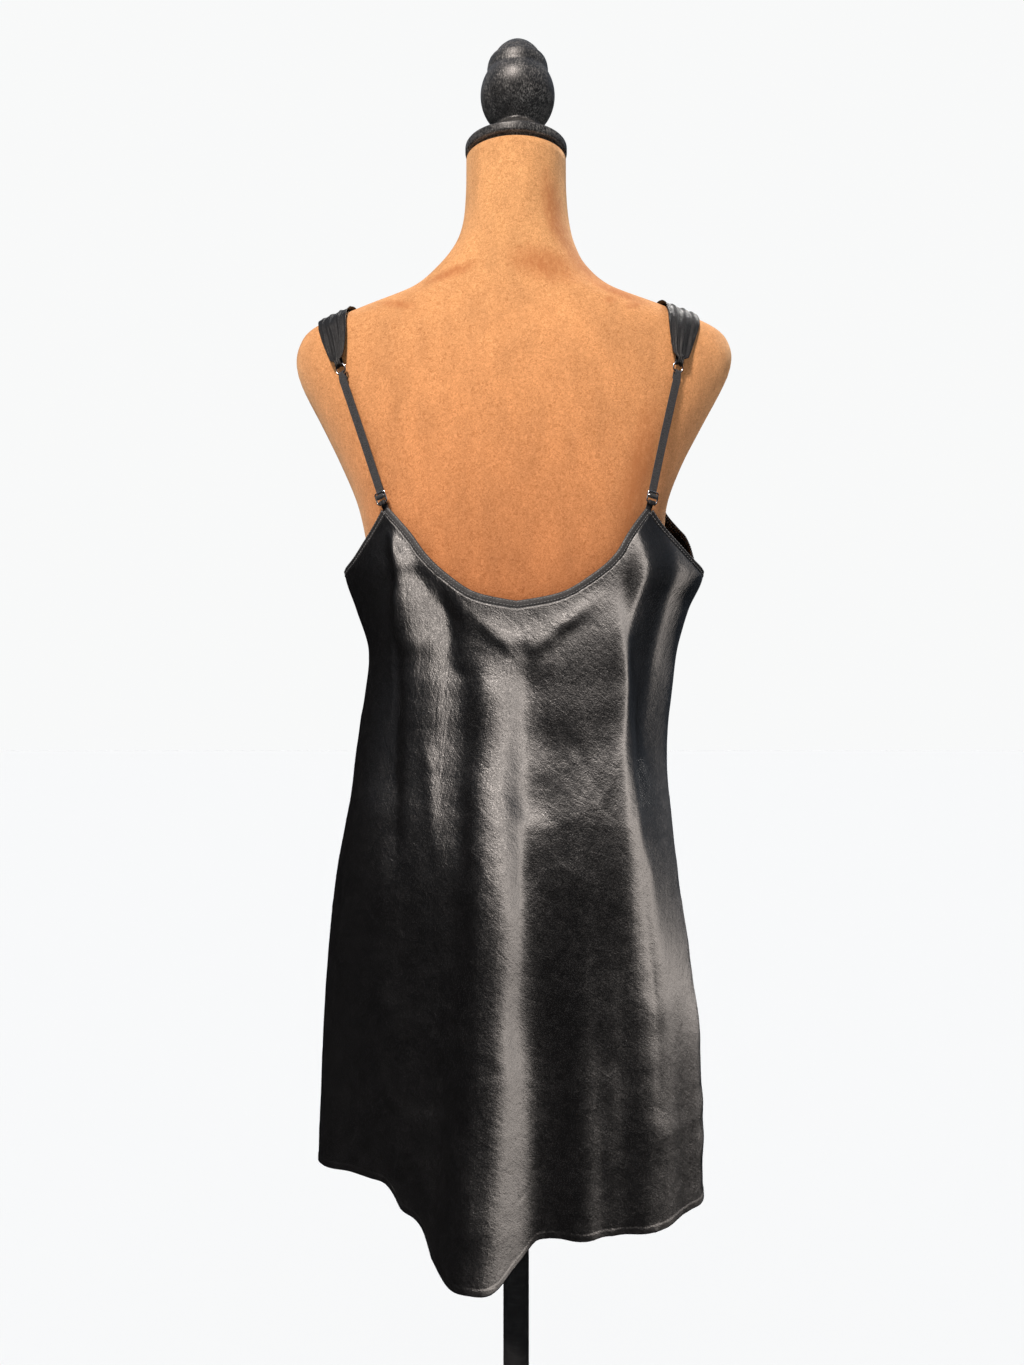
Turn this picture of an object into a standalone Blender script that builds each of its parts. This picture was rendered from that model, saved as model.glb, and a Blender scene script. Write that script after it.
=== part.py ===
"""A slip dress on a limbless dress form with a turned stand.

Metres, +Z up. The origin is at the centre of the stand's underside. The dress's back faces -Y, and +X is
the wearer's right. Angles round the body are in degrees: 0 at the centre of the back, 90 at the +X side.
"""

import math
from collections import namedtuple

import bmesh
import bpy
from mathutils import Matrix, Vector
from mathutils.bvhtree import BVHTree

# Driving dimensions
WALL = 0.0016
GAP = 0.0003
BINDING_WIDTH = 0.0052
BINDING_THICK = 0.0024
BINDING_GAP = 0.0006
SIDE_SEAM = 90.0
SEAM_RADIUS = 0.165
BACK_PEAK = 43.0
STRAP_SEAT_OUTER = 122.0
STRAP_SEAT_INNER = 143.0
STRAP_THICK = 0.0013
STRAP_CLEARANCE = 0.0034
STRAP_LEAST = 0.0022
STRAP_BUNCHED = 0.0060
STRAP_TAIL = 0.0080
SEAT_GAP = 0.0005
ELASTIC_WIDTH = 0.0078
ELASTIC_BUNCHED = 0.0050
ELASTIC_THICK = 0.0012
WIRE_RADIUS = 0.0008
HOOK_CLEARANCE = 0.0005
RING_RADIUS = 0.0050
RING_CLEARANCE = 0.0058
SLIDER_WIDTH = 0.0106
SLIDER_HEIGHT = 0.0100
SLIDER_CORNER = 0.0016
SLIDER_BAR = 0.0015
SLIDER_RISE = 0.0150
LOOP_WIDTH = 0.0062
LOOP_THICK = 0.0010
TAB_LENGTH = 0.0080
TAB_GAP = 0.0017
FOLD_EDGE = 3.0

FORM_BOTTOM = 0.745
NECK_TOP = 1.5084
SHOULDER_TOP = 1.3050
DISC_RADIUS = 0.0495
DISC_TOP = 1.5220
BALL_RADIUS = 0.0362
BALL_HEIGHT = 1.5715
FINIAL_SHIFT = 0.0015
BASE_RADIUS = 0.150
BASE_THICK = 0.016
POLE_RADIUS = 0.0125

BACK_COLUMNS = (9, 24, 9)
BACK_ROWS = 24
FRONT_COLUMNS = (6, 3, 10, 3, 6)
FRONT_ROWS = 18

# Horizontal sections of the dress: half-widths to -X and +X, depths to -Y and +Y, and squareness,
# 2 for an ellipse and more for a boxier outline
Section = namedtuple("Section", "height left right back front squareness")
DRESS_SECTIONS = (
    Section(0.480, 0.191, 0.182, 0.112, 0.128, 2.20),
    Section(0.600, 0.188, 0.177, 0.120, 0.128, 2.20),
    Section(0.680, 0.185, 0.173, 0.125, 0.128, 2.20),
    Section(0.740, 0.181, 0.167, 0.130, 0.128, 2.25),
    Section(0.798, 0.175, 0.158, 0.133, 0.127, 2.30),
    Section(0.837, 0.169, 0.153, 0.132, 0.127, 2.35),
    Section(0.876, 0.160, 0.149, 0.127, 0.129, 2.40),
    Section(0.915, 0.151, 0.146, 0.119, 0.132, 2.40),
    Section(0.954, 0.145, 0.146, 0.112, 0.137, 2.45),
    Section(0.993, 0.142, 0.150, 0.108, 0.143, 2.50),
    Section(1.032, 0.142, 0.155, 0.106, 0.149, 2.50),
    Section(1.070, 0.154, 0.166, 0.104, 0.152, 2.50),
    Section(1.105, 0.165, 0.180, 0.103, 0.148, 2.50),
    Section(1.150, 0.160, 0.163, 0.102, 0.136, 2.50),
    Section(1.215, 0.162, 0.162, 0.100, 0.120, 2.50),
)
FORM_SECTIONS = (
    Section(0.7450, 0.140, 0.140, 0.108, 0.088, 2.3),
    Section(0.7485, 0.145, 0.145, 0.114, 0.094, 2.3),
    Section(0.7600, 0.147, 0.147, 0.118, 0.097, 2.3),
    Section(0.7850, 0.147, 0.147, 0.121, 0.100, 2.3),
    Section(0.8200, 0.144, 0.144, 0.121, 0.102, 2.3),
    Section(0.8700, 0.136, 0.136, 0.114, 0.100, 2.3),
    Section(0.9200, 0.127, 0.127, 0.102, 0.097, 2.3),
    Section(0.9700, 0.123, 0.123, 0.094, 0.100, 2.3),
    Section(1.0200, 0.127, 0.127, 0.093, 0.116, 2.4),
    Section(1.0700, 0.135, 0.135, 0.095, 0.133, 2.5),
    Section(1.1200, 0.142, 0.142, 0.096, 0.131, 2.5),
    Section(1.1680, 0.152, 0.145, 0.096, 0.118, 2.5),
    Section(1.2070, 0.168, 0.159, 0.095, 0.103, 2.4),
    Section(1.2460, 0.187, 0.179, 0.093, 0.091, 2.3),
    Section(1.2850, 0.207, 0.200, 0.088, 0.080, 2.2),
    Section(1.3050, 0.213, 0.208, 0.084, 0.075, 2.1),
    Section(1.3240, 0.211, 0.208, 0.079, 0.070, 2.0),
    Section(1.3400, 0.199, 0.196, 0.073, 0.065, 2.0),
    Section(1.3570, 0.159, 0.155, 0.068, 0.061, 2.0),
    Section(1.3765, 0.108, 0.100, 0.063, 0.056, 2.0),
    Section(1.3990, 0.079, 0.071, 0.059, 0.053, 2.0),
    Section(1.4220, 0.0605, 0.0580, 0.055, 0.051, 2.0),
    Section(1.4450, 0.0520, 0.0520, 0.051, 0.049, 2.0),
    Section(1.4750, 0.0490, 0.0490, 0.049, 0.048, 2.0),
    Section(NECK_TOP, 0.0485, 0.0485, 0.0485, 0.0485, 2.0),
)
FORM_SIDES = 32

# The cloth's top edge below its binding, by angle from the centre of the back
Edge = namedtuple("Edge", "angle height")
BACK_NECKLINE = (
    Edge(0.0, 1.0660),
    Edge(11.0, 1.0755),
    Edge(19.0, 1.0925),
    Edge(25.5, 1.1100),
    Edge(32.0, 1.1290),
    Edge(BACK_PEAK, 1.1520),
)
ARMHOLE = (
    Edge(BACK_PEAK, 1.1520),
    Edge(52.0, 1.1275),
    Edge(61.0, 1.1110),
    Edge(74.0, 1.1025),
    Edge(88.0, 1.1015),
    Edge(98.0, 1.1090),
    Edge(106.0, 1.1290),
    Edge(114.0, 1.1600),
    Edge(STRAP_SEAT_OUTER, 1.2000),
)
STRAP_SEAT = (Edge(STRAP_SEAT_OUTER, 1.2000), Edge(STRAP_SEAT_INNER, 1.2010))
FRONT_NECKLINE = (
    Edge(STRAP_SEAT_INNER, 1.2010),
    Edge(150.0, 1.1780),
    Edge(160.0, 1.1580),
    Edge(170.0, 1.1490),
    Edge(180.0, 1.1460),
)
# The hem, hitched up at the -X side and dropped at the deep fold in the back
BACK_HEM = (
    Edge(-90.0, 0.5460),
    Edge(-62.0, 0.5545),
    Edge(-42.0, 0.5570),
    Edge(-37.5, 0.5545),
    Edge(-34.5, 0.5460),
    Edge(-31.5, 0.5330),
    Edge(-26.0, 0.5270),
    Edge(-23.5, 0.5190),
    Edge(-20.5, 0.4980),
    Edge(-17.0, 0.4895),
    Edge(-10.0, 0.4885),
    Edge(-3.8, 0.4880),
    Edge(0.8, 0.5020),
    Edge(5.0, 0.5150),
    Edge(30.0, 0.5130),
    Edge(60.0, 0.5130),
    Edge(90.0, 0.5080),
)
FRONT_HEM = (
    Edge(90.0, 0.5080),
    Edge(130.0, 0.5010),
    Edge(180.0, 0.5060),
    Edge(225.0, 0.5280),
    Edge(270.0, 0.5440),
)

# Folds of the cloth: each starts at a height, runs between two angles down to the hem, has a width in
# degrees and a size at the hem, out from the body where positive; rise below 1 swells it early
Fold = namedtuple("Fold", "start top_angle hem_angle width size rise")
FOLDS = (
    Fold(1.060, -2.0, -9.2, 8.0, 0.034, 1.5),
    Fold(0.960, -27.0, -33.0, 9.0, -0.010, 1.2),
    Fold(0.900, -52.0, -49.0, 9.0, -0.007, 1.0),
    Fold(0.850, -70.0, -70.0, 9.0, 0.004, 1.0),
    Fold(0.980, 10.0, 7.0, 6.0, -0.007, 1.0),
    Fold(0.860, 15.0, 16.0, 5.0, 0.003, 1.0),
    Fold(0.920, 25.0, 27.0, 7.0, -0.006, 1.2),
    Fold(0.880, 45.0, 42.0, 7.0, 0.003, 1.0),
    Fold(0.840, 62.0, 60.0, 8.0, -0.004, 1.0),
    Fold(0.900, 112.0, 110.0, 9.0, -0.010, 1.1),
    Fold(1.000, 132.0, 130.0, 9.0, 0.014, 1.3),
    Fold(0.900, 152.0, 151.0, 8.0, -0.012, 1.1),
    Fold(1.010, 172.0, 170.0, 9.0, 0.016, 1.3),
    Fold(0.900, 192.0, 191.0, 8.0, -0.013, 1.1),
    Fold(1.000, 213.0, 214.0, 9.0, 0.014, 1.3),
    Fold(0.900, 238.0, 240.0, 10.0, -0.010, 1.1),
)
SMALL_FOLD_HEIGHT = 0.49

# A strap on each side: the seat is on the front panel, the other places are on the form
Strap = namedtuple("Strap", "name side ring_across ring_height shoulder_across chest_across spread")
STRAPS = (
    Strap("left", -1, 0.1700, 1.2860, 0.1790, 0.1420, 1.00),
    Strap("right", 1, 0.1520, 1.2870, 0.1590, 0.1360, 1.10),
)
STRAP_WIDTHS = (
    (0.0, 0.0300), (0.45, 0.0330), (0.70, 0.0335), (0.86, 0.0285), (0.95, 0.0205), (1.0, 0.0125),
)
STRAP_GATHERS = 3
STRAP_GATHER_DEPTH = 0.0009
STRAP_ROWS = 15
STRAP_COLUMNS = 9

MATERIALS = {
    "satin": ((0.012, 0.012, 0.014, 1.0), 0.32, 0.0),
    "elastic": ((0.020, 0.020, 0.023, 1.0), 0.75, 0.0),
    "metal": ((0.75, 0.75, 0.77, 1.0), 0.22, 1.0),
    "suede": ((0.360, 0.150, 0.055, 1.0), 0.90, 0.0),
    "paint": ((0.010, 0.010, 0.011, 1.0), 0.38, 0.0),
}


def smooth(rows, value):
    """A smooth curve through (key, amount) rows, read at value and level beyond the ends."""
    if value <= rows[0][0]:
        return rows[0][1]
    if value >= rows[-1][0]:
        return rows[-1][1]
    k = next(i for i in range(len(rows) - 1) if value <= rows[i + 1][0])

    def slope(i):
        low, high = max(i - 1, 0), min(i + 1, len(rows) - 1)
        return (rows[high][1] - rows[low][1]) / (rows[high][0] - rows[low][0])

    span = rows[k + 1][0] - rows[k][0]
    t = (value - rows[k][0]) / span
    return (
        (2 * t**3 - 3 * t**2 + 1) * rows[k][1]
        + (t**3 - 2 * t**2 + t) * span * slope(k)
        + (3 * t**2 - 2 * t**3) * rows[k + 1][1]
        + (t**3 - t**2) * span * slope(k + 1)
    )


def section_at(sections, height):
    columns = zip(*[[(row.height, amount) for amount in row[1:]] for row in sections])
    return [smooth(column, height) for column in columns]


def body_point(sections, angle, height):
    """The point of a sectioned body at an angle and a height."""
    left, right, back, front, squareness = section_at(sections, height)
    across, along = math.sin(math.radians(angle)), math.cos(math.radians(angle))
    width = right if across >= 0 else left
    depth = back if along >= 0 else front
    power = 2 / squareness
    x = math.copysign(width * abs(across) ** power, across)
    y = -math.copysign(depth * abs(along) ** power, along)
    return Vector((x, y, height))


def wrapped(angle):
    """The angle's distance from the centre of the back, 0 to 180."""
    return abs((angle + 180) % 360 - 180)


def top_edge(angle):
    place = wrapped(angle)
    if place <= BACK_PEAK:
        return smooth(BACK_NECKLINE, place)
    if place <= STRAP_SEAT_OUTER:
        return smooth(ARMHOLE, place)
    if place <= STRAP_SEAT_INNER:
        return smooth(STRAP_SEAT, place)
    return smooth(FRONT_NECKLINE, place)


def hem_edge(angle):
    turned = (angle + 90) % 360 - 90
    return smooth(BACK_HEM if turned <= 90 else FRONT_HEM, turned)


def fold_depth(angle, height):
    """How far the folds push the cloth out at an angle and a height."""
    depth = 0.0
    for fold in FOLDS:
        down = min(max((fold.start - height) / (fold.start - SMALL_FOLD_HEIGHT), 0.0), 1.0)
        ridge = fold.top_angle + (fold.hem_angle - fold.top_angle) * down
        off = abs((angle - ridge + 180) % 360 - 180) / fold.width
        depth += fold.size * down**fold.rise * math.exp(-(off**FOLD_EDGE))
    return depth


def folded_point(angle, height):
    """A point of the dress's outer face."""
    point = body_point(DRESS_SECTIONS, angle, height)
    ahead = body_point(DRESS_SECTIONS, angle + 1.0, height)
    behind = body_point(DRESS_SECTIONS, angle - 1.0, height)
    along = ahead - behind
    outward = Vector((along.y, -along.x, 0.0)).normalized()
    return point + outward * fold_depth(angle, height)


def cloth_point(angle, height, out=0.0):
    """A point out metres off the dress's outer face, square to the cloth."""
    point = folded_point(angle, height)
    along = folded_point(angle + 0.5, height) - folded_point(angle - 0.5, height)
    upward = folded_point(angle, height + 0.004) - folded_point(angle, height - 0.004)
    return point + along.cross(upward).normalized() * out


def material(name):
    found = bpy.data.materials.get(name)
    if found:
        return found
    colour, roughness, metallic = MATERIALS[name]
    made = bpy.data.materials.new(name)
    made.use_nodes = True
    shader = made.node_tree.nodes["Principled BSDF"]
    shader.inputs["Base Color"].default_value = colour
    shader.inputs["Roughness"].default_value = roughness
    shader.inputs["Metallic"].default_value = metallic
    made.diffuse_color = colour
    return made


def add_object(name, mesh, finish):
    made = bpy.data.objects.new(name, mesh)
    parts.objects.link(made)
    mesh.materials.append(material(finish))
    mesh.shade_smooth()
    return made


def grid_mesh(name, rows, closed=False):
    """An open surface through rows of points; closed joins each row's ends and caps the last rows."""
    builder = bmesh.new()
    points = [[builder.verts.new(point) for point in row] for row in rows]
    for upper, lower in zip(points, points[1:]):
        count = len(upper)
        for k in range(count if closed else count - 1):
            after = (k + 1) % count
            builder.faces.new((upper[k], lower[k], lower[after], upper[after]))
    if closed:
        builder.faces.new(points[0])
        builder.faces.new(points[-1][::-1])
    bmesh.ops.recalc_face_normals(builder, faces=builder.faces)
    mesh = bpy.data.meshes.new(name)
    builder.to_mesh(mesh)
    builder.free()
    return mesh


def solidify(target, thickness, offset):
    shell = target.modifiers.new("wall", "SOLIDIFY")
    shell.thickness = thickness
    shell.offset = offset
    shell.use_even_offset = True
    shell.use_rim = True


def spread(stops, counts):
    """Evenly spaced values between each two stops, with that many steps in each stretch."""
    values = [stops[0]]
    for start, end, count in zip(stops, stops[1:], counts):
        values += [start + (end - start) * (k + 1) / count for k in range(count)]
    return values


def turned(name, profile, finish, steps):
    """A turned body from (radius, height) rows that run down its outer side."""
    mesh = bpy.data.meshes.new(name)
    edges = [(k, k + 1) for k in range(len(profile) - 1)]
    mesh.from_pydata([(radius, 0.0, height) for radius, height in profile], edges, [])
    made = add_object(name, mesh, finish)
    lathe = made.modifiers.new("lathe", "SCREW")
    lathe.angle = math.tau
    lathe.steps = lathe.render_steps = steps
    lathe.use_merge_vertices = True
    lathe.merge_threshold = 0.00005
    return made


def arc(centre_radius, centre_height, size, start, end, count):
    """Profile points along an arc; its angles are measured up from level."""
    angles = [math.radians(start + (end - start) * k / count) for k in range(count + 1)]
    return [
        (centre_radius + size * math.cos(turn), centre_height + size * math.sin(turn))
        for turn in angles
    ]


def make_torso():
    heights = [section.height for section in FORM_SECTIONS]
    rounded = [height for height in heights if height >= SHOULDER_TOP]
    heights += [(low + high) / 2 for low, high in zip(rounded, rounded[1:])]
    rows = [
        [
            body_point(FORM_SECTIONS, 360.0 * k / FORM_SIDES, height)
            for k in range(FORM_SIDES)
        ]
        for height in sorted(heights, reverse=True)
    ]
    return add_object("torso", grid_mesh("torso", rows, closed=True), "suede")


def make_neck_disc():
    rim = 0.0022
    under = 0.0440
    under_top = 1.5130
    profile = [(0.0, DISC_TOP)]
    profile += arc(DISC_RADIUS - rim, DISC_TOP - rim, rim, 90, 0, 4)
    profile += arc(DISC_RADIUS - rim, under_top + rim, rim, 0, -90, 4)
    profile += [(under, under_top), (under, NECK_TOP + GAP), (0.0, NECK_TOP + GAP)]
    turned("neck_disc", profile, "paint", 24)


def make_finial():
    foot = DISC_TOP + GAP
    profile = [(0.0, 1.6245), (0.0065, 1.6237), (0.0120, 1.6212), (0.0170, 1.6172), (0.0205, 1.6135)]
    profile += [(0.0235, 1.6086), (0.0252, 1.6066), (0.0277, 1.6045), (0.0292, 1.6005), (0.0298, 1.5955)]
    profile += arc(0.0, BALL_HEIGHT, BALL_RADIUS, 35, -52, 9)
    profile += [(0.0219, 1.5410), (0.0245, 1.5368), (0.0285, 1.5336), (0.0290, 1.5316), (0.0285, 1.5296)]
    profile += [(0.0285, foot), (0.0, foot)]
    finial = turned("finial", profile, "paint", 18)
    finial.location.x = FINIAL_SHIFT


def make_stand():
    soft = 0.005
    profile = [(0.0, BASE_THICK + 0.004), (0.030, BASE_THICK + 0.004), (0.036, BASE_THICK)]
    profile += arc(BASE_RADIUS - soft, BASE_THICK - soft, soft, 90, 0, 4)
    profile += [(BASE_RADIUS, 0.0015), (BASE_RADIUS - 0.0015, 0.0), (0.0, 0.0)]
    turned("base", profile, "paint", 30)
    foot, head = BASE_THICK + 0.004 + GAP, FORM_BOTTOM - GAP
    profile = [(0.0, head), (0.036, head), (0.036, head - 0.006), (0.018, head - 0.010)]
    profile += [(POLE_RADIUS, head - 0.030), (POLE_RADIUS, foot + 0.030)]
    profile += [(0.020, foot + 0.008), (0.022, foot), (0.0, foot)]
    turned("pole", profile, "paint", 16)


def make_panel(name, angles, rows):
    grid = []
    for k in range(rows + 1):
        share = k / rows
        line = []
        for angle in angles:
            top, hem = top_edge(angle), hem_edge(angle)
            line.append(cloth_point(angle, top + (hem - top) * share))
        grid.append(line)
    panel = add_object(name, grid_mesh(name, grid), "satin")
    solidify(panel, WALL, -1.0 if faces_out(panel) else 1.0)


def faces_out(panel):
    """Whether most of a cloth surface's faces point away from the body's axis."""
    away = sum(face.normal.x * face.center.x + face.normal.y * face.center.y for face in panel.data.polygons)
    return away > 0


def back_angles():
    inset = math.degrees(GAP / 2 / SEAM_RADIUS)
    return spread((-SIDE_SEAM + inset, -BACK_PEAK, BACK_PEAK, SIDE_SEAM - inset), BACK_COLUMNS)


def front_angles():
    inset = math.degrees(GAP / 2 / SEAM_RADIUS)
    right = (SIDE_SEAM + inset, STRAP_SEAT_OUTER, STRAP_SEAT_INNER)
    return spread(right + tuple(360 - angle for angle in reversed(right)), FRONT_COLUMNS)


def between(angles, low, high):
    return [angle for angle in angles if low - 0.01 <= angle <= high + 0.01]


def make_binding(name, angles, start_past, end_past):
    """A binding above the cloth's top edge; its ends can run on past the edge's corners."""
    middle = -WALL / 2
    edge = [cloth_point(angle, top_edge(angle), middle) for angle in angles]
    below = [cloth_point(angle, top_edge(angle) - 0.01, middle) for angle in angles]
    ways = [
        (edge[min(k + 1, len(edge) - 1)] - edge[max(k - 1, 0)]).normalized()
        for k in range(len(edge))
    ]
    ways[0] = (edge[1] - edge[0]).normalized()
    ways[-1] = (edge[-1] - edge[-2]).normalized()
    edge[0] = edge[0] - ways[0] * start_past
    edge[-1] = edge[-1] + ways[-1] * end_past
    rows = [[], [], []]
    for point, low, way in zip(edge, below, ways):
        up = point - low
        up = (up - way * up.dot(way)).normalized()
        for row, share in zip(rows, (0.0, 0.5, 1.0)):
            row.append(point + up * (BINDING_GAP + BINDING_WIDTH * share))
    strip = add_object(name, grid_mesh(name, rows), "satin")
    solidify(strip, BINDING_THICK, 0.0)


def make_bindings():
    corner = 0.0024
    back, front = back_angles(), front_angles()
    make_binding("back_neck_binding", between(back, -BACK_PEAK, BACK_PEAK), corner, corner)
    neckline = between(front, STRAP_SEAT_INNER, 360 - STRAP_SEAT_INNER)
    make_binding("front_neck_binding", neckline, 0.0, 0.0)
    right = between(back, BACK_PEAK, SIDE_SEAM) + between(front, SIDE_SEAM, STRAP_SEAT_OUTER)
    make_binding("armhole_binding_right", right, 0.0, 0.0)
    make_binding("armhole_binding_left", [-angle for angle in right], 0.0, 0.0)


def along_curve(points, count):
    """Evenly spread points along a smooth curve through the given ones."""
    keys = [0.0]
    for start, end in zip(points, points[1:]):
        keys.append(keys[-1] + (end - start).length)
    axes = [[(key, point[axis]) for key, point in zip(keys, points)] for axis in range(3)]
    places = [keys[-1] * k / count for k in range(count + 1)]
    return [Vector([smooth(axis, place) for axis in axes]) for place in places]


def ribbon(name, rows, thickness, finish):
    band = add_object(name, grid_mesh(name, rows), finish)
    solidify(band, thickness, 0.0)


def hook(centre, frame, radius, start, end, count=6):
    """Points round a bar at centre; the angles are measured from out towards up."""
    turns = [math.radians(start + (end - start) * k / count) for k in range(count + 1)]
    return [
        centre + frame.out * radius * math.cos(turn) + frame.up * radius * math.sin(turn)
        for turn in turns
    ]


def ring_lift(across):
    """How far a ring's wire curves away from its top or bottom at a distance across."""
    return RING_RADIUS - math.sqrt(RING_RADIUS**2 - across**2)


class StrapFrame:
    """The places and directions of one side's straps, from the back peak to the shoulder ring."""

    def __init__(self, strap, form):
        self.angle = BACK_PEAK * strap.side
        self.peak = top_edge(self.angle)
        self.tip = cloth_point(self.angle, self.peak, -WALL / 2)
        guide = Vector((strap.side * strap.ring_across, -0.085, strap.ring_height))
        surface, normal, _, _ = form.find_nearest(guide)
        self.ring = surface + normal * RING_CLEARANCE
        self.up = (self.ring - self.tip).normalized()
        self.cloth_out = (cloth_point(self.angle, self.peak) - self.tip).normalized()
        outward = normal * 0.3 + self.cloth_out
        self.out = (outward - self.up * outward.dot(self.up)).normalized()
        self.across = self.up.cross(self.out).normalized()
        self.slider = self.tip + self.up * SLIDER_RISE

    def place(self, target, centre):
        target.matrix_world = Matrix.Translation(centre) @ self.rotation()

    def rotation(self):
        """Lays local X, Y and Z along across, up and out."""
        return Matrix((self.across, self.up, self.out)).transposed().to_4x4()

    def row(self, point, width, lift=0.0):
        """Three points across a band at a point; its edges rise by lift along the up direction."""
        half = self.across * width / 2
        rise = self.up * lift
        return [point - half + rise, point, point + half + rise]


def make_ring(strap, frame):
    bpy.ops.mesh.primitive_torus_add(
        major_radius=RING_RADIUS, minor_radius=WIRE_RADIUS, major_segments=20, minor_segments=6
    )
    ring = take(bpy.context.object, "upper_ring_" + strap.name, "metal")
    frame.place(ring, frame.ring)


def take(made, name, finish):
    """Names an object that an operator made, and moves it to the parts' collection."""
    made.name = made.data.name = name
    for holder in list(made.users_collection):
        holder.objects.unlink(made)
    parts.objects.link(made)
    made.data.materials.append(material(finish))
    made.data.shade_smooth()
    return made


def make_slider(strap, frame):
    """A wire frame with round corners, and a bar across it that the elastic is sewn round."""
    half_width, half_height = SLIDER_WIDTH / 2, SLIDER_HEIGHT / 2
    corners = []
    for start, x_way, y_way in ((0, 1, 1), (90, -1, 1), (180, -1, -1), (270, 1, -1)):
        centre = (x_way * (half_width - SLIDER_CORNER), y_way * (half_height - SLIDER_CORNER))
        for turn in (start, start + 45, start + 90):
            x = centre[0] + SLIDER_CORNER * math.cos(math.radians(turn))
            y = centre[1] + SLIDER_CORNER * math.sin(math.radians(turn))
            corners.append((x, y, 0.0, 1.0))
    wire = bpy.data.curves.new("slider_wire", "CURVE")
    wire.dimensions = "3D"
    wire.bevel_depth = WIRE_RADIUS
    wire.bevel_resolution = 1
    spline = wire.splines.new("POLY")
    spline.points.add(len(corners) - 1)
    for point, corner in zip(spline.points, corners):
        point.co = corner
    spline.use_cyclic_u = True
    guide = bpy.data.objects.new("slider_wire", wire)
    parts.objects.link(guide)
    bpy.context.view_layer.update()
    seen = guide.evaluated_get(bpy.context.evaluated_depsgraph_get())
    slider = add_object("slider_" + strap.name, bpy.data.meshes.new_from_object(seen), "metal")
    bpy.data.objects.remove(guide)
    bpy.ops.mesh.primitive_cylinder_add(
        vertices=8,
        radius=WIRE_RADIUS * 0.9,
        depth=SLIDER_WIDTH,
        location=(0.0, SLIDER_BAR, 0.0),
        rotation=(0.0, math.pi / 2, 0.0),
    )
    bar = bpy.context.object
    bar.hide_render = True
    bar.display_type = "WIRE"
    join = slider.modifiers.new("bar", "BOOLEAN")
    join.operation = "UNION"
    join.object = bar
    bar.parent = slider
    frame.place(slider, frame.slider)


def make_elastic(strap, frame):
    """Sewn round the slider's bar below, and looped through the ring above."""
    radius = WIRE_RADIUS + HOOK_CLEARANCE + ELASTIC_THICK / 2
    bar = frame.slider + frame.up * SLIDER_BAR
    wire = frame.ring - frame.up * RING_RADIUS
    tail, low = 0.0012, 0.0040
    start = hook(bar, frame, radius, 360, 180)
    spine = [start[0] + frame.up * tail] + start + [start[-1] + frame.up * low]
    widths = [ELASTIC_WIDTH] * len(spine)
    end = hook(wire, frame, radius, 0, 180)
    reach = (end[0] - frame.up * 0.006) - spine[-1]
    steps = 6
    for k in range(1, steps + 1):
        spine.append(spine[-1] + reach / steps)
        widths.append(ELASTIC_WIDTH)
    lifts = [0.0] * len(spine)
    spine += end + [end[-1] - frame.up * 0.006]
    widths += [ELASTIC_BUNCHED] * (len(end) + 1)
    lifts += [ring_lift(ELASTIC_BUNCHED / 2)] * (len(end) + 1)
    rows = [frame.row(point, width, lift) for point, width, lift in zip(spine, widths, lifts)]
    ribbon("elastic_" + strap.name, rows, ELASTIC_THICK, "elastic")


def make_back_loop(strap, frame):
    """Behind the peak, up over the slider's lower bar, and down in front of it."""
    radius = WIRE_RADIUS + HOOK_CLEARANCE + LOOP_THICK / 2
    inside = -WALL / 2 - BINDING_THICK / 2 - LOOP_THICK / 2 - TAB_GAP
    spine = [
        cloth_point(frame.angle, frame.peak - TAB_LENGTH * share, inside)
        for share in (1.0, 0.5, 0.0)
    ]
    wrap = hook(frame.slider - frame.up * SLIDER_HEIGHT / 2, frame, radius, 180, 0)
    spine += [(spine[-1] + wrap[0]) / 2] + wrap + [wrap[-1] - frame.up * 0.0022]
    rows = [frame.row(point, LOOP_WIDTH) for point in spine]
    flat = (frame.across - frame.cloth_out * frame.across.dot(frame.cloth_out)).normalized()
    for row in rows[:4]:
        row[0] = row[1] - flat * LOOP_WIDTH / 2
        row[2] = row[1] + flat * LOOP_WIDTH / 2
    ribbon("back_loop_" + strap.name, rows, LOOP_THICK, "satin")


def clear_of(form, point):
    """The point, or the nearest one that clears the form by the least a strap keeps."""
    surface, normal, _, _ = form.find_nearest(point)
    height = (point - surface).dot(normal)
    return point + normal * max(0.0, STRAP_LEAST - height)


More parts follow.
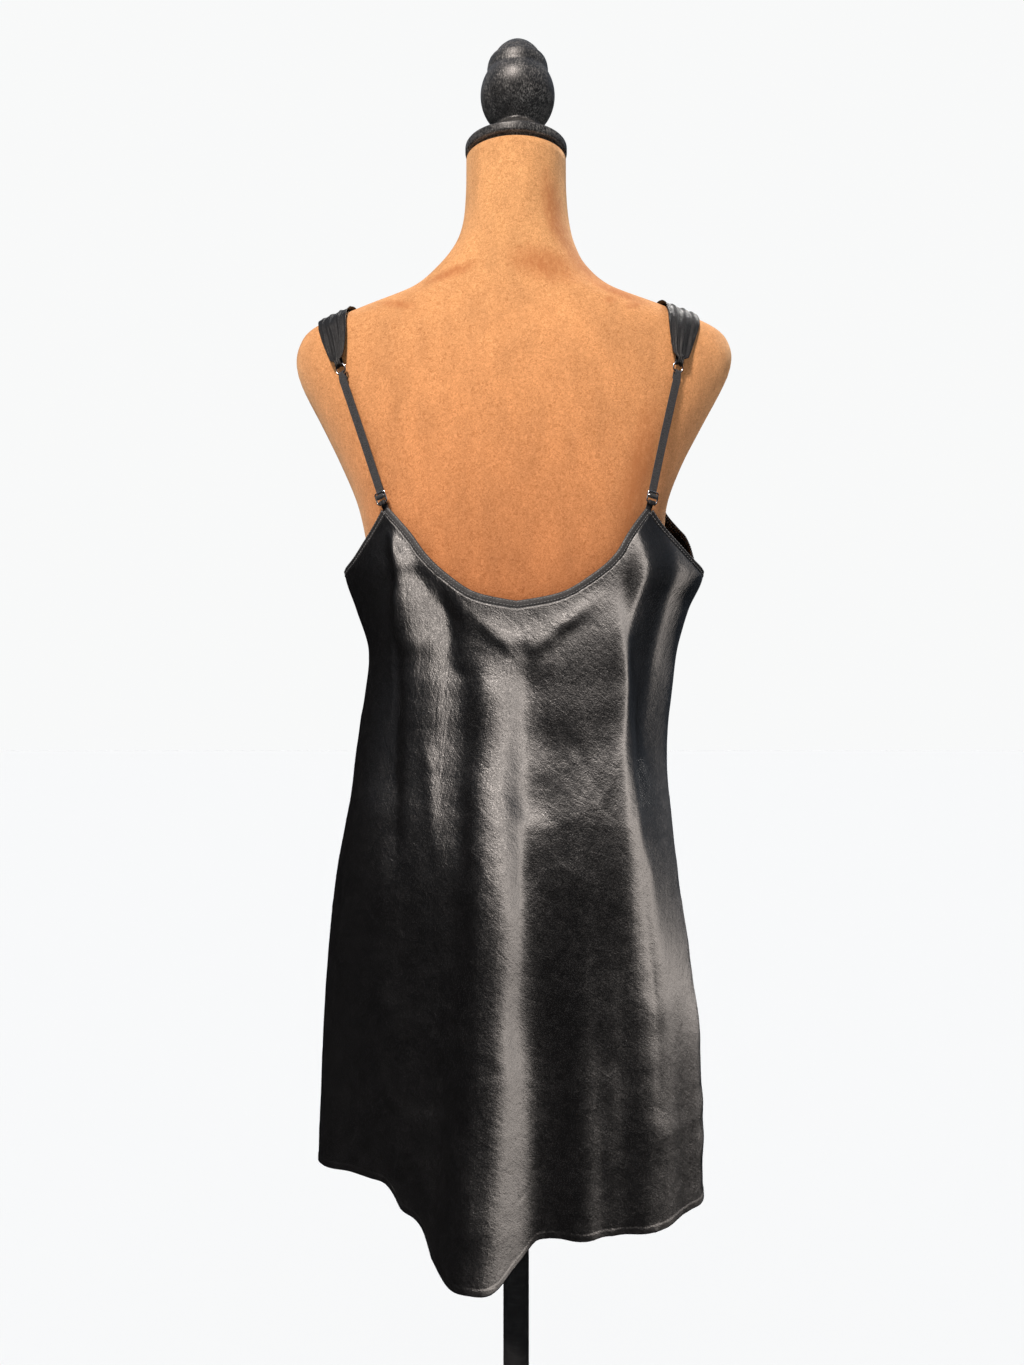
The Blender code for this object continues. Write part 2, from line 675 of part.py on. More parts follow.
def make_strap(strap, frame, form):
    """A gathered strap from its seat on the front panel, over the shoulder, to its fold round the ring."""
    shares = [k / STRAP_COLUMNS for k in range(STRAP_COLUMNS + 1)]
    seat_span = STRAP_SEAT_INNER - STRAP_SEAT_OUTER
    seat = []
    for share in shares:
        angle = (STRAP_SEAT_OUTER + seat_span * share) * strap.side
        seat.append(cloth_point(angle, top_edge(angle) + SEAT_GAP, -WALL / 2))
    radius = WIRE_RADIUS + HOOK_CLEARANCE * 1.6 + STRAP_THICK / 2
    wire = frame.ring + frame.up * RING_RADIUS
    fold = hook(wire, frame, radius, 0, -180)
    middle = (seat[0] + seat[-1]) / 2
    route = [middle]
    for across, along, height in (
        (strap.chest_across, 0.085, 1.265),
        ((strap.chest_across + strap.shoulder_across) / 2, 0.050, 1.325),
        (strap.shoulder_across, 0.0, 1.380),
        ((strap.ring_across * 2 + strap.shoulder_across) / 3, -0.055, 1.330),
    ):
        surface, normal, _, _ = form.find_nearest(Vector((across * strap.side, along, height)))
        route.append(surface + normal * STRAP_CLEARANCE)
    route.append(fold[0] + frame.up * 0.004)
    spine = along_curve(route, STRAP_ROWS)
    rows = [seat]
    for k in range(1, STRAP_ROWS):
        place = k / STRAP_ROWS
        way = (spine[k + 1] - spine[k - 1]).normalized()
        surface, normal, _, _ = form.find_nearest(spine[k])
        across = way.cross(normal).normalized()
        across *= -math.copysign(1.0, across.x * strap.side)
        width = smooth(STRAP_WIDTHS, place) * strap.spread
        sewn = max(0.0, 1 - place / 0.30) ** 2
        held = max(0.0, (place - 0.82) / 0.18) ** 2
        row = []
        for share, sewn_point in zip(shares, seat):
            free = spine[k] + across * width * (share - 0.5)
            surface, normal, _, _ = form.find_nearest(free)
            gather = STRAP_GATHER_DEPTH * math.sin(math.tau * STRAP_GATHERS * share)
            lying = surface + normal * (STRAP_CLEARANCE + gather)
            lifted = sewn_point + (spine[k] - middle)
            row.append(clear_of(form, lying.lerp(free, held).lerp(lifted, sewn)))
        rows.append(row)
    inward = frame.across * -math.copysign(1.0, frame.across.x * strap.side)
    fold = [fold[0] + frame.up * 0.004] + fold + [fold[-1] + frame.up * STRAP_TAIL]
    for point in fold:
        row = []
        for share in shares:
            across = STRAP_BUNCHED * (share - 0.5)
            row.append(point + inward * across - frame.up * ring_lift(across))
        rows.append(row)
    ribbon("strap_" + strap.name, rows, STRAP_THICK, "satin")


def make_straps(torso):
    bpy.context.view_layer.update()
    form = BVHTree.FromObject(torso, bpy.context.evaluated_depsgraph_get())
    for strap in STRAPS:
        frame = StrapFrame(strap, form)
        make_ring(strap, frame)
        make_slider(strap, frame)
        make_elastic(strap, frame)
        make_back_loop(strap, frame)
        make_strap(strap, frame, form)


def main():
    torso = make_torso()
    make_neck_disc()
    make_finial()
    make_stand()
    make_panel("back_panel", back_angles(), BACK_ROWS)
    make_panel("front_panel", front_angles(), FRONT_ROWS)
    make_bindings()
    make_straps(torso)


for old in list(bpy.data.objects):
    bpy.data.objects.remove(old)
parts = bpy.data.collections.new("slip_dress")
bpy.context.scene.collection.children.link(parts)
main()
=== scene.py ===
"""The looks of a black satin slip dress on a suede dress form.

Metres, +Z up. The dress's back faces -Y, and +X is the wearer's right. Angles round the body are in
degrees: 0 at the centre of the back, 90 at the +X side. Creases are placed by how far across (X) and
how high (Z) they lie on the back or the front.
"""

import math
from collections import namedtuple

import bmesh
import bpy
import numpy as np
from mathutils import Matrix, Vector
from mathutils.bvhtree import BVHTree


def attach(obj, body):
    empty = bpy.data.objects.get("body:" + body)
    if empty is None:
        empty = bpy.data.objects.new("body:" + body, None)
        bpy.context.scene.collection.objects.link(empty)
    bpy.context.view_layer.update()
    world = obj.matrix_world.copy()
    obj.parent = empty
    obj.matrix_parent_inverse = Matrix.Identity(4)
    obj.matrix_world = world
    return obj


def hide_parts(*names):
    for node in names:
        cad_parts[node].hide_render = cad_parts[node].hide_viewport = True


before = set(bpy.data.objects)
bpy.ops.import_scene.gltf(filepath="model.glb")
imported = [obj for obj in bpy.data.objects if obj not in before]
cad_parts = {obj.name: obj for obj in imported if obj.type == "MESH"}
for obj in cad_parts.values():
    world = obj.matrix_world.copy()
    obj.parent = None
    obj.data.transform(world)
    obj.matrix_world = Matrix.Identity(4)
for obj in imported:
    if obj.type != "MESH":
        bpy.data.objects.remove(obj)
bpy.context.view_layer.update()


def table(columns, *rows):
    """Rows of a short table with named columns."""
    return tuple(columns(*row) for row in rows)


# Driving dimensions of the part, the same as in its own source
WALL = 0.0016
GAP = 0.0003
BINDING_THICK = 0.0024
SIDE_SEAM = 90.0
BACK_PEAK = 43.0
STRAP_SEAT_OUTER = 122.0
STRAP_SEAT_INNER = 143.0
STRAP_CLEARANCE = 0.0034
STRAP_LEAST = 0.0022
STRAP_BUNCHED = 0.0060
STRAP_TAIL = 0.0080
STRAP_THICK = 0.0013
ELASTIC_WIDTH = 0.0078
ELASTIC_BUNCHED = 0.0050
ELASTIC_THICK = 0.0012
WIRE_RADIUS = 0.0008
HOOK_CLEARANCE = 0.0005
RING_RADIUS = 0.0050
RING_CLEARANCE = 0.0058
SLIDER_WIDTH = 0.0106
SLIDER_HEIGHT = 0.0100
SLIDER_CORNER = 0.0016
SLIDER_BAR = 0.0015
SLIDER_RISE = 0.0150
LOOP_WIDTH = 0.0062
LOOP_THICK = 0.0010
TAB_LENGTH = 0.0080
TAB_GAP = 0.0017
FORM_BOTTOM = 0.745
NECK_TOP = 1.5084
DISC_RADIUS = 0.0495
DISC_TOP = 1.5220
BALL_RADIUS = 0.0362
BALL_HEIGHT = 1.5715
FINIAL_SHIFT = 0.0015
BASE_RADIUS = 0.150
BASE_THICK = 0.016
POLE_RADIUS = 0.0125

# Horizontal sections of the dress and of the form: half-widths to -X and +X, depths to -Y and +Y, and
# squareness, 2 for an ellipse and more for a boxier outline
Section = namedtuple("Section", "height left right back front squareness")
DRESS_SECTIONS = table(
    Section,
    (0.480, 0.191, 0.182, 0.112, 0.128, 2.20),
    (0.600, 0.188, 0.177, 0.120, 0.128, 2.20),
    (0.680, 0.185, 0.173, 0.125, 0.128, 2.20),
    (0.740, 0.181, 0.167, 0.130, 0.128, 2.25),
    (0.798, 0.175, 0.158, 0.133, 0.127, 2.30),
    (0.837, 0.169, 0.153, 0.132, 0.127, 2.35),
    (0.876, 0.160, 0.149, 0.127, 0.129, 2.40),
    (0.915, 0.151, 0.146, 0.119, 0.132, 2.40),
    (0.954, 0.145, 0.146, 0.112, 0.137, 2.45),
    (0.993, 0.142, 0.150, 0.108, 0.143, 2.50),
    (1.032, 0.142, 0.155, 0.106, 0.149, 2.50),
    (1.070, 0.154, 0.166, 0.104, 0.152, 2.50),
    (1.105, 0.165, 0.180, 0.103, 0.148, 2.50),
    (1.150, 0.160, 0.163, 0.102, 0.136, 2.50),
    (1.215, 0.162, 0.162, 0.100, 0.120, 2.50),
)
FORM_SECTIONS = table(
    Section,
    (0.7450, 0.140, 0.140, 0.108, 0.088, 2.3),
    (0.7485, 0.145, 0.145, 0.114, 0.094, 2.3),
    (0.7600, 0.147, 0.147, 0.118, 0.097, 2.3),
    (0.7850, 0.147, 0.147, 0.121, 0.100, 2.3),
    (0.8200, 0.144, 0.144, 0.121, 0.102, 2.3),
    (0.8700, 0.136, 0.136, 0.114, 0.100, 2.3),
    (0.9200, 0.127, 0.127, 0.102, 0.097, 2.3),
    (0.9700, 0.123, 0.123, 0.094, 0.100, 2.3),
    (1.0200, 0.127, 0.127, 0.093, 0.116, 2.4),
    (1.0700, 0.135, 0.135, 0.095, 0.133, 2.5),
    (1.1200, 0.142, 0.142, 0.096, 0.131, 2.5),
    (1.1680, 0.152, 0.145, 0.096, 0.118, 2.5),
    (1.2070, 0.168, 0.159, 0.095, 0.103, 2.4),
    (1.2460, 0.187, 0.179, 0.093, 0.091, 2.3),
    (1.2850, 0.207, 0.200, 0.088, 0.080, 2.2),
    (1.3050, 0.213, 0.208, 0.084, 0.075, 2.1),
    (1.3240, 0.211, 0.208, 0.079, 0.070, 2.0),
    (1.3400, 0.199, 0.196, 0.073, 0.065, 2.0),
    (1.3570, 0.159, 0.155, 0.068, 0.061, 2.0),
    (1.3765, 0.108, 0.100, 0.063, 0.056, 2.0),
    (1.3990, 0.079, 0.071, 0.059, 0.053, 2.0),
    (1.4220, 0.0605, 0.0580, 0.055, 0.051, 2.0),
    (1.4450, 0.0520, 0.0520, 0.051, 0.049, 2.0),
    (1.4750, 0.0490, 0.0490, 0.049, 0.048, 2.0),
    (NECK_TOP, 0.0485, 0.0485, 0.0485, 0.0485, 2.0),
)

# The cloth's top edge below its binding, and the hem, by angle
Edge = namedtuple("Edge", "angle height")
BACK_NECKLINE = table(
    Edge,
    (0.0, 1.0660), (11.0, 1.0755), (19.0, 1.0925), (25.5, 1.1100), (32.0, 1.1290), (BACK_PEAK, 1.1520),
)
ARMHOLE = table(
    Edge,
    (BACK_PEAK, 1.1520), (52.0, 1.1275), (61.0, 1.1110), (74.0, 1.1025), (88.0, 1.1015), (98.0, 1.1090),
    (106.0, 1.1290), (114.0, 1.1600), (STRAP_SEAT_OUTER, 1.2000),
)
STRAP_SEAT = table(Edge, (STRAP_SEAT_OUTER, 1.2000), (STRAP_SEAT_INNER, 1.2010))
FRONT_NECKLINE = table(
    Edge,
    (STRAP_SEAT_INNER, 1.2010), (150.0, 1.1780), (160.0, 1.1580), (170.0, 1.1490), (180.0, 1.1460),
)
BACK_HEM = table(
    Edge,
    (-90.0, 0.5460), (-62.0, 0.5545), (-42.0, 0.5570), (-37.5, 0.5545), (-34.5, 0.5460), (-31.5, 0.5330),
    (-26.0, 0.5270), (-23.5, 0.5190), (-20.5, 0.4980), (-17.0, 0.4895), (-10.0, 0.4885), (-3.8, 0.4880),
    (0.8, 0.5020), (5.0, 0.5150), (30.0, 0.5130), (60.0, 0.5130), (90.0, 0.5080),
)
FRONT_HEM = table(
    Edge,
    (90.0, 0.5080), (130.0, 0.5010), (180.0, 0.5060), (225.0, 0.5280), (270.0, 0.5440),
)

# The big folds that the solids have too: each starts at a height, runs down between two angles, and grows
# to its size at the hem, the faster the larger its rise
Fold = namedtuple("Fold", "start top_angle hem_angle width size rise")
FOLDS = table(
    Fold,
    (1.060, -2.0, -9.2, 8.0, 0.034, 1.5),
    (0.960, -27.0, -33.0, 9.0, -0.010, 1.2),
    (0.900, -52.0, -49.0, 9.0, -0.007, 1.0),
    (0.850, -70.0, -70.0, 9.0, 0.004, 1.0),
    (0.980, 10.0, 7.0, 6.0, -0.007, 1.0),
    (0.860, 15.0, 16.0, 5.0, 0.003, 1.0),
    (0.920, 25.0, 27.0, 7.0, -0.006, 1.2),
    (0.880, 45.0, 42.0, 7.0, 0.003, 1.0),
    (0.840, 62.0, 60.0, 8.0, -0.004, 1.0),
    (0.900, 112.0, 110.0, 9.0, -0.010, 1.1),
    (1.000, 132.0, 130.0, 9.0, 0.014, 1.3),
    (0.900, 152.0, 151.0, 8.0, -0.012, 1.1),
    (1.010, 172.0, 170.0, 9.0, 0.016, 1.3),
    (0.900, 192.0, 191.0, 8.0, -0.013, 1.1),
    (1.000, 213.0, 214.0, 9.0, 0.014, 1.3),
    (0.900, 238.0, 240.0, 10.0, -0.010, 1.1),
)
FOLD_EDGE = 3.0
SMALL_FOLD_HEIGHT = 0.49

# Creases: (across, height) points from top to bottom, half-widths towards -X and +X, size out from the
# body where positive, and the shares of the length over which each end fades
Crease = namedtuple("Crease", "points left right size fade_in fade_out")
BACK_CREASES = table(
    Crease,
    # the ridge below the left peak, the hollow inside it and the dark strip outside
    (((-0.112, 1.138), (-0.107, 1.091), (-0.103, 1.038), (-0.102, 0.984)),
     0.005, 0.026, 0.0080, 0.03, 0.50),
    (((-0.081, 1.115), (-0.067, 1.073), (-0.056, 1.020), (-0.047, 0.959)),
     0.031, 0.014, -0.0070, 0.10, 0.60),
    (((-0.101, 1.038), (-0.099, 0.949), (-0.098, 0.846)), 0.007, 0.034, 0.0014, 0.35, 0.45),
    (((-0.056, 1.020), (-0.047, 0.933), (-0.042, 0.817)), 0.029, 0.015, -0.0028, 0.30, 0.60),
    (((-0.149, 1.041), (-0.145, 0.909), (-0.145, 0.787)), 0.009, 0.026, 0.0050, 0.30, 0.35),
    (((-0.110, 1.038), (-0.108, 0.931), (-0.106, 0.811)), 0.017, 0.007, -0.0035, 0.25, 0.30),
    # the ridge in the middle and the deep hollow beside it
    (((-0.028, 1.028), (-0.031, 0.959), (-0.031, 0.883), (-0.031, 0.793), (-0.031, 0.684), (-0.029, 0.585)),
     0.015, 0.031, 0.0045, 0.10, 0.25),
    (((0.010, 1.028), (0.009, 0.916), (0.007, 0.817), (0.004, 0.715), (0.004, 0.601)),
     0.011, 0.019, -0.0050, 0.10, 0.35),
    (((0.033, 0.985), (0.031, 0.899), (0.027, 0.815), (0.026, 0.729)), 0.021, 0.029, -0.0042, 0.25, 0.55),
    (((-0.045, 0.916), (-0.047, 0.816), (-0.053, 0.705)), 0.009, 0.012, -0.0020, 0.30, 0.30),
    # the ridge below the right peak, the black groove beside it and the lit cloth outside that
    (((0.088, 1.108), (0.088, 1.055), (0.096, 0.985), (0.106, 0.914), (0.114, 0.844), (0.124, 0.773)),
     0.043, 0.006, 0.0040, 0.20, 0.35),
    (((0.102, 1.140), (0.102, 1.064), (0.112, 0.984), (0.124, 0.912), (0.132, 0.849)),
     0.009, 0.017, -0.0040, 0.06, 0.35),
    # a fine line that runs down from the left armhole
    (((-0.111, 1.077), (-0.113, 1.029), (-0.113, 0.993), (-0.117, 0.953)),
     0.003, 0.003, 0.0007, 0.10, 0.20),
    # the pulls that meet under the neckline
    (((-0.067, 1.081), (-0.033, 1.053), (0.000, 1.023)), 0.006, 0.015, 0.0018, 0.35, 0.15),
    (((0.079, 1.083), (0.044, 1.053), (0.007, 1.023)), 0.014, 0.006, 0.0026, 0.35, 0.15),
    (((0.070, 1.067), (0.044, 1.044), (0.012, 1.009)), 0.009, 0.012, -0.0014, 0.35, 0.35),
    (((-0.033, 1.027), (0.003, 1.018), (0.040, 1.027)), 0.014, 0.021, 0.0010, 0.50, 0.50),
    # small ones
    (((-0.081, 0.967), (-0.074, 0.898), (-0.067, 0.832)), 0.006, 0.007, 0.0012, 0.30, 0.30),
    (((-0.156, 0.983), (-0.156, 0.846), (-0.158, 0.712)), 0.010, 0.010, 0.0015, 0.30, 0.30),
    (((0.079, 0.985), (0.064, 0.933), (0.043, 0.874)), 0.004, 0.005, -0.0005, 0.30, 0.30),
    (((0.038, 0.967), (0.062, 0.924), (0.087, 0.864)), 0.004, 0.004, -0.0004, 0.30, 0.30),
    (((0.101, 0.967), (0.078, 0.907), (0.058, 0.848)), 0.004, 0.004, 0.0004, 0.30, 0.30),
    # the lower part
    (((-0.104, 0.741), (-0.105, 0.651), (-0.104, 0.551)), 0.014, 0.022, 0.0035, 0.30, 0.15),
    (((-0.067, 0.693), (-0.065, 0.632), (-0.064, 0.556)), 0.019, 0.010, -0.0035, 0.30, 0.15),
    (((-0.129, 0.755), (-0.136, 0.645), (-0.143, 0.560)), 0.012, 0.010, -0.0020, 0.30, 0.20),
    (((0.077, 0.770), (0.080, 0.672), (0.081, 0.556)), 0.017, 0.012, 0.0024, 0.30, 0.20),
    (((0.108, 0.758), (0.116, 0.686), (0.124, 0.560)), 0.019, 0.019, 0.0030, 0.30, 0.20),
    (((0.170, 0.735), (0.176, 0.638), (0.180, 0.534)), 0.014, 0.010, 0.0030, 0.30, 0.20),
    (((-0.054, 0.629), (-0.047, 0.574), (-0.038, 0.526)), 0.012, 0.012, 0.0020, 0.30, 0.15),
)
FRONT_CREASES = table(
    Crease,
    # the ridges that run down from the strap seats and the hollows inside them
    (((-0.105, 1.185), (-0.098, 1.120), (-0.100, 1.040), (-0.105, 0.950)),
     0.022, 0.007, 0.0050, 0.15, 0.50),
    (((-0.078, 1.165), (-0.061, 1.110), (-0.050, 1.050), (-0.044, 0.970)),
     0.012, 0.024, -0.0055, 0.15, 0.55),
    (((0.104, 1.180), (0.099, 1.115), (0.103, 1.040), (0.109, 0.950)), 0.007, 0.024, 0.0050, 0.15, 0.50),
    (((0.076, 1.160), (0.060, 1.100), (0.050, 1.040), (0.046, 0.950)), 0.024, 0.012, -0.0055, 0.15, 0.55),
    # the swags under the neckline
    (((-0.062, 1.142), (0.000, 1.112), (0.064, 1.140)), 0.011, 0.018, 0.0032, 0.35, 0.35),
    (((-0.054, 1.112), (0.002, 1.086), (0.058, 1.110)), 0.008, 0.015, -0.0026, 0.35, 0.35),
    # the long folds from the bust to the hem
    (((-0.012, 1.060), (-0.010, 0.940), (-0.016, 0.800), (-0.018, 0.640), (-0.020, 0.540)),
     0.012, 0.022, 0.0048, 0.15, 0.20),
    (((0.026, 1.040), (0.028, 0.900), (0.031, 0.760), (0.035, 0.590)), 0.022, 0.011, -0.0052, 0.20, 0.25),
    (((-0.060, 0.980), (-0.066, 0.860), (-0.074, 0.720), (-0.081, 0.560)),
     0.010, 0.020, -0.0045, 0.25, 0.20),
    (((0.078, 0.960), (0.084, 0.840), (0.092, 0.700), (0.098, 0.550)), 0.020, 0.010, 0.0042, 0.25, 0.20),
    (((-0.112, 0.900), (-0.120, 0.780), (-0.127, 0.620)), 0.014, 0.009, 0.0035, 0.30, 0.25),
    (((0.128, 0.880), (0.134, 0.760), (0.141, 0.620)), 0.009, 0.014, -0.0035, 0.30, 0.25),
    # the slanting pulls over the waist and hip
    (((-0.130, 1.010), (-0.090, 0.960), (-0.040, 0.925)), 0.007, 0.009, 0.0022, 0.35, 0.35),
    (((0.128, 1.000), (0.092, 0.946), (0.046, 0.905)), 0.008, 0.007, -0.0022, 0.35, 0.35),
    (((0.120, 0.900), (0.084, 0.852), (0.042, 0.826)), 0.006, 0.008, 0.0018, 0.35, 0.35),
    (((-0.118, 0.860), (-0.082, 0.822), (-0.046, 0.806)), 0.006, 0.008, -0.0018, 0.35, 0.35),
    (((0.010, 0.780), (0.044, 0.740), (0.088, 0.722)), 0.006, 0.006, 0.0012, 0.35, 0.35),
    (((-0.030, 0.720), (-0.060, 0.668), (-0.100, 0.640)), 0.006, 0.006, 0.0012, 0.35, 0.35),
)
CREASE_MARGIN = 0.034
CREASE_STEPS = 26
CREASE_REACH = 3.2
CREASE_EDGE = 1.8
CREASE_WANDER = 0.12
CREASE_UNEVEN = 0.22

# How steeply the satin's floats rise to the right, in degrees, by angle round the body and at three heights
Grain = namedtuple("Grain", "angle top middle hem")
GRAIN_HEIGHTS = (1.04, 0.84, 0.60)
BACK_GRAIN = table(
    Grain,
    (-90.0, 50.0, 52.0, 56.0),
    (-60.0, 46.0, 52.0, 54.0),
    (-30.0, 36.0, 52.0, 54.0),
    (-19.0, 36.0, 54.0, 54.0),
    (-10.0, 56.0, 55.0, 49.0),
    (0.0, 54.0, 55.0, 49.0),
    (4.0, 60.0, 70.0, 58.0),
    (10.0, 64.0, 74.0, 62.0),
    (20.0, 66.0, 75.0, 60.0),
    (34.0, 62.0, 71.0, 60.0),
    (38.0, 19.0, 62.0, 60.0),
    (45.5, 19.0, 55.0, 62.0),
    (51.0, 54.0, 50.0, 64.0),
    (59.0, 58.0, 50.0, 66.0),
    (90.0, 60.0, 54.0, 62.0),
)
FRONT_GRAIN = table(Grain, (90.0, 60.0, 54.0, 62.0), (180.0, 58.0, 58.0, 60.0), (270.0, 50.0, 52.0, 56.0))
GRAIN_TURN = 60.0

# A strap on each side: the seat is on the front panel, the other places are on the form
Strap = namedtuple("Strap", "name side ring_across ring_height shoulder_across chest_across spread")
STRAPS = table(
    Strap,
    ("left", -1, 0.1700, 1.2860, 0.1790, 0.1420, 1.00),
    ("right", 1, 0.1520, 1.2870, 0.1590, 0.1360, 1.10),
)
# (share of the way from the seat to the ring, width)
STRAP_WIDTHS = (
    (0.0, 0.0300), (0.45, 0.0330), (0.70, 0.0335), (0.86, 0.0285), (0.95, 0.0205), (1.0, 0.0125),
)

# The panels' meshes: columns between the stops round the body, and rows down to the turned-up hem
CLOTH = 0.0005
BACK_COLUMNS = (44, 100, 44)
FRONT_COLUMNS = (28, 18, 76, 18, 28)
PANEL_ROWS = 176
HEM_ROWS = (0.0085, 0.0072, 0.0064, 0.0056, 0.0042, 0.0026, 0.0012, 0.0)
HEM_TURN = 0.0060
HEM_PUFF = 0.00035
HEM_MARGIN = 0.0015


# ---------------------------------------------------------------- camera, stage and lights

CAMERA_PLACE = (-0.004, -1.0, 1.0)
CAMERA_LENS = 27.03
FLOOR_REACH = 14.0
FLOOR_COLOUR = (0.812, 0.800, 0.780, 1.0)
WALL_COLOUR = (0.942, 0.948, 0.948, 1.0)
# The studio's upper half as the object sees it, from level to overhead
SKY = (
    (0.00, (0.010, 0.010, 0.011)),
    (0.25, (0.028, 0.030, 0.033)),
    (0.60, (0.170, 0.196, 0.236)),
    (0.95, (0.245, 0.285, 0.345)),
)
KEY_DIRECTION = (0.242, 0.664, -0.707)
KEY_COLOUR = (1.0, 0.89, 0.81)


def add_object(name, data):
    made = bpy.data.objects.new(name, data)
    bpy.context.scene.collection.objects.link(made)
    return made


def make_camera():
    data = bpy.data.cameras.new("camera")
    data.lens = CAMERA_LENS
    data.sensor_width = 36.0
    data.sensor_fit = "AUTO"
    camera = add_object("camera", data)
    camera.location = CAMERA_PLACE
    camera.rotation_euler = (math.radians(90), 0.0, 0.0)
    bpy.context.scene.camera = camera


def sun_light(name, direction, strength, angle, colour):
    data = bpy.data.lights.new(name, "SUN")
    data.energy = strength
    data.angle = math.radians(angle)
    data.color = colour
    lamp = add_object(name, data)
    lamp.rotation_euler = Vector(direction).to_track_quat("-Z", "Y").to_euler()
    return lamp


def light_only(lamp, receivers, state):
    """Restricts a lamp to the given objects, or keeps it off them."""
    group = bpy.data.collections.new(lamp.name + "_receivers")
    for receiver in receivers:
        group.objects.link(receiver)
    lamp.light_linking.receiver_collection = group
    for entry in group.collection_objects:
        entry.light_linking.link_state = state


def make_stage():
    """The pale floor, which only the stage's own sun lights."""
    mesh = bpy.data.meshes.new("floor")
    corners = [(x * FLOOR_REACH, y * FLOOR_REACH, 0) for x, y in ((-1, -1), (1, -1), (1, 1), (-1, 1))]
    mesh.from_pydata(corners, [], [(0, 1, 2, 3)])
    floor = add_object("floor", mesh)
    paint = bpy.data.materials.new("floor_paint")
    paint.use_nodes = True
    shader = paint.node_tree.nodes["Principled BSDF"]
    shader.inputs["Base Color"].default_value = FLOOR_COLOUR
    shader.inputs["Roughness"].default_value = 1.0
    shader.inputs["Specular IOR Level"].default_value = 0.0
    mesh.materials.append(paint)
    floor.visible_glossy = False
    return floor


def make_world():
    """A dark studio with a soft top light; the camera itself sees a pale wall."""
    world = bpy.data.worlds.new("studio")
    bpy.context.scene.world = world
    world.use_nodes = True
    tree = world.node_tree
    tree.nodes.clear()
    output, mix, path, dim, pale, place, split, ramp = (tree.nodes.new("ShaderNode" + kind) for kind in (
        "OutputWorld", "MixShader", "LightPath", "Background", "Background", "TexCoord", "SeparateXYZ",
        "ValToRGB",
    ))
    line = ramp.color_ramp
    line.interpolation = "EASE"
    for _ in range(len(SKY) - 2):
        line.elements.new(0.5)
    for element, (rise, colour) in zip(line.elements, SKY):
        element.position = rise
        element.color = (*colour, 1.0)
    pale.inputs["Color"].default_value = WALL_COLOUR
    for source, target in (
        (place.outputs["Generated"], split.inputs["Vector"]),
        (split.outputs["Z"], ramp.inputs["Fac"]),
        (ramp.outputs["Color"], dim.inputs["Color"]),
        (path.outputs["Is Camera Ray"], mix.inputs["Fac"]),
        (dim.outputs["Background"], mix.inputs[1]),
        (pale.outputs["Background"], mix.inputs[2]),
        (mix.outputs["Shader"], output.inputs["Surface"]),
    ):
        tree.links.new(source, target)


def make_lights(floor, painted, straps):
    """A sun behind the camera, a wider one for what would glint, a weak one in front, and the stage's."""
    key = sun_light("key", KEY_DIRECTION, strength=4.8, angle=9.0, colour=KEY_COLOUR)
    light_only(key, [floor, *painted, *straps], "EXCLUDE")
    soft_key = sun_light("soft_key", KEY_DIRECTION, strength=3.8, angle=26.0, colour=KEY_COLOUR)
    light_only(soft_key, [*painted, *straps], "INCLUDE")
    stage_sun = sun_light("stage_sun", (0.0, 0.0, -1.0), strength=3.1, angle=30.0, colour=(1.0, 1.0, 1.0))
    light_only(stage_sun, [floor], "INCLUDE")
    front_key = sun_light("front_key", (-0.45, -0.62, -0.95), strength=2.2, angle=8.0,
                          colour=(1.0, 0.96, 0.92))
    light_only(front_key, [floor, *painted], "EXCLUDE")


# ---------------------------------------------------------------- the dress's and the form's shapes

def smooth(rows, values):
    """A smooth curve through (key, amount) rows, level beyond the ends; values may be an array."""
    keys = np.array([row[0] for row in rows], float)
    amounts = np.array([row[1] for row in rows], float)
    last = len(keys) - 1
    low = np.maximum(np.arange(last + 1) - 1, 0)
    high = np.minimum(np.arange(last + 1) + 1, last)
    slopes = (amounts[high] - amounts[low]) / (keys[high] - keys[low])
    values = np.clip(np.asarray(values, float), keys[0], keys[-1])
    k = np.clip(np.searchsorted(keys, values, side="left") - 1, 0, last - 1)
    span = keys[k + 1] - keys[k]
    t = (values - keys[k]) / span
    return (
        (2 * t**3 - 3 * t**2 + 1) * amounts[k]
        + (t**3 - 2 * t**2 + t) * span * slopes[k]
        + (3 * t**2 - 2 * t**3) * amounts[k + 1]
        + (t**3 - t**2) * span * slopes[k + 1]
    )


def body_points(sections, angle, height):
    """Points of a sectioned body, as an array whose last axis is X, Y, Z."""
    angle, height = np.broadcast_arrays(np.asarray(angle, float), np.asarray(height, float))
    left, right, back, front, squareness = (
        smooth([(row.height, getattr(row, column)) for row in sections], height)
        for column in Section._fields[1:]
    )
    across, along = np.sin(np.radians(angle)), np.cos(np.radians(angle))
    width = np.where(across >= 0, right, left)
    depth = np.where(along >= 0, back, front)
    power = 2 / squareness
    x = np.sign(across) * width * np.abs(across) ** power
    y = -np.sign(along) * depth * np.abs(along) ** power
    return np.stack([x, y, height], axis=-1)


def top_edge(angle):
    """The height of the cloth's top edge; both sides are alike."""
    place = np.abs((np.asarray(angle, float) + 180) % 360 - 180)
    return np.select(
        [place <= BACK_PEAK, place <= STRAP_SEAT_OUTER, place <= STRAP_SEAT_INNER],
        [smooth(BACK_NECKLINE, place), smooth(ARMHOLE, place), smooth(STRAP_SEAT, place)],
        smooth(FRONT_NECKLINE, place),
    )


def hem_edge(angle):
    turned = (np.asarray(angle, float) + 90) % 360 - 90
    return np.where(turned <= 90, smooth(BACK_HEM, turned), smooth(FRONT_HEM, turned))


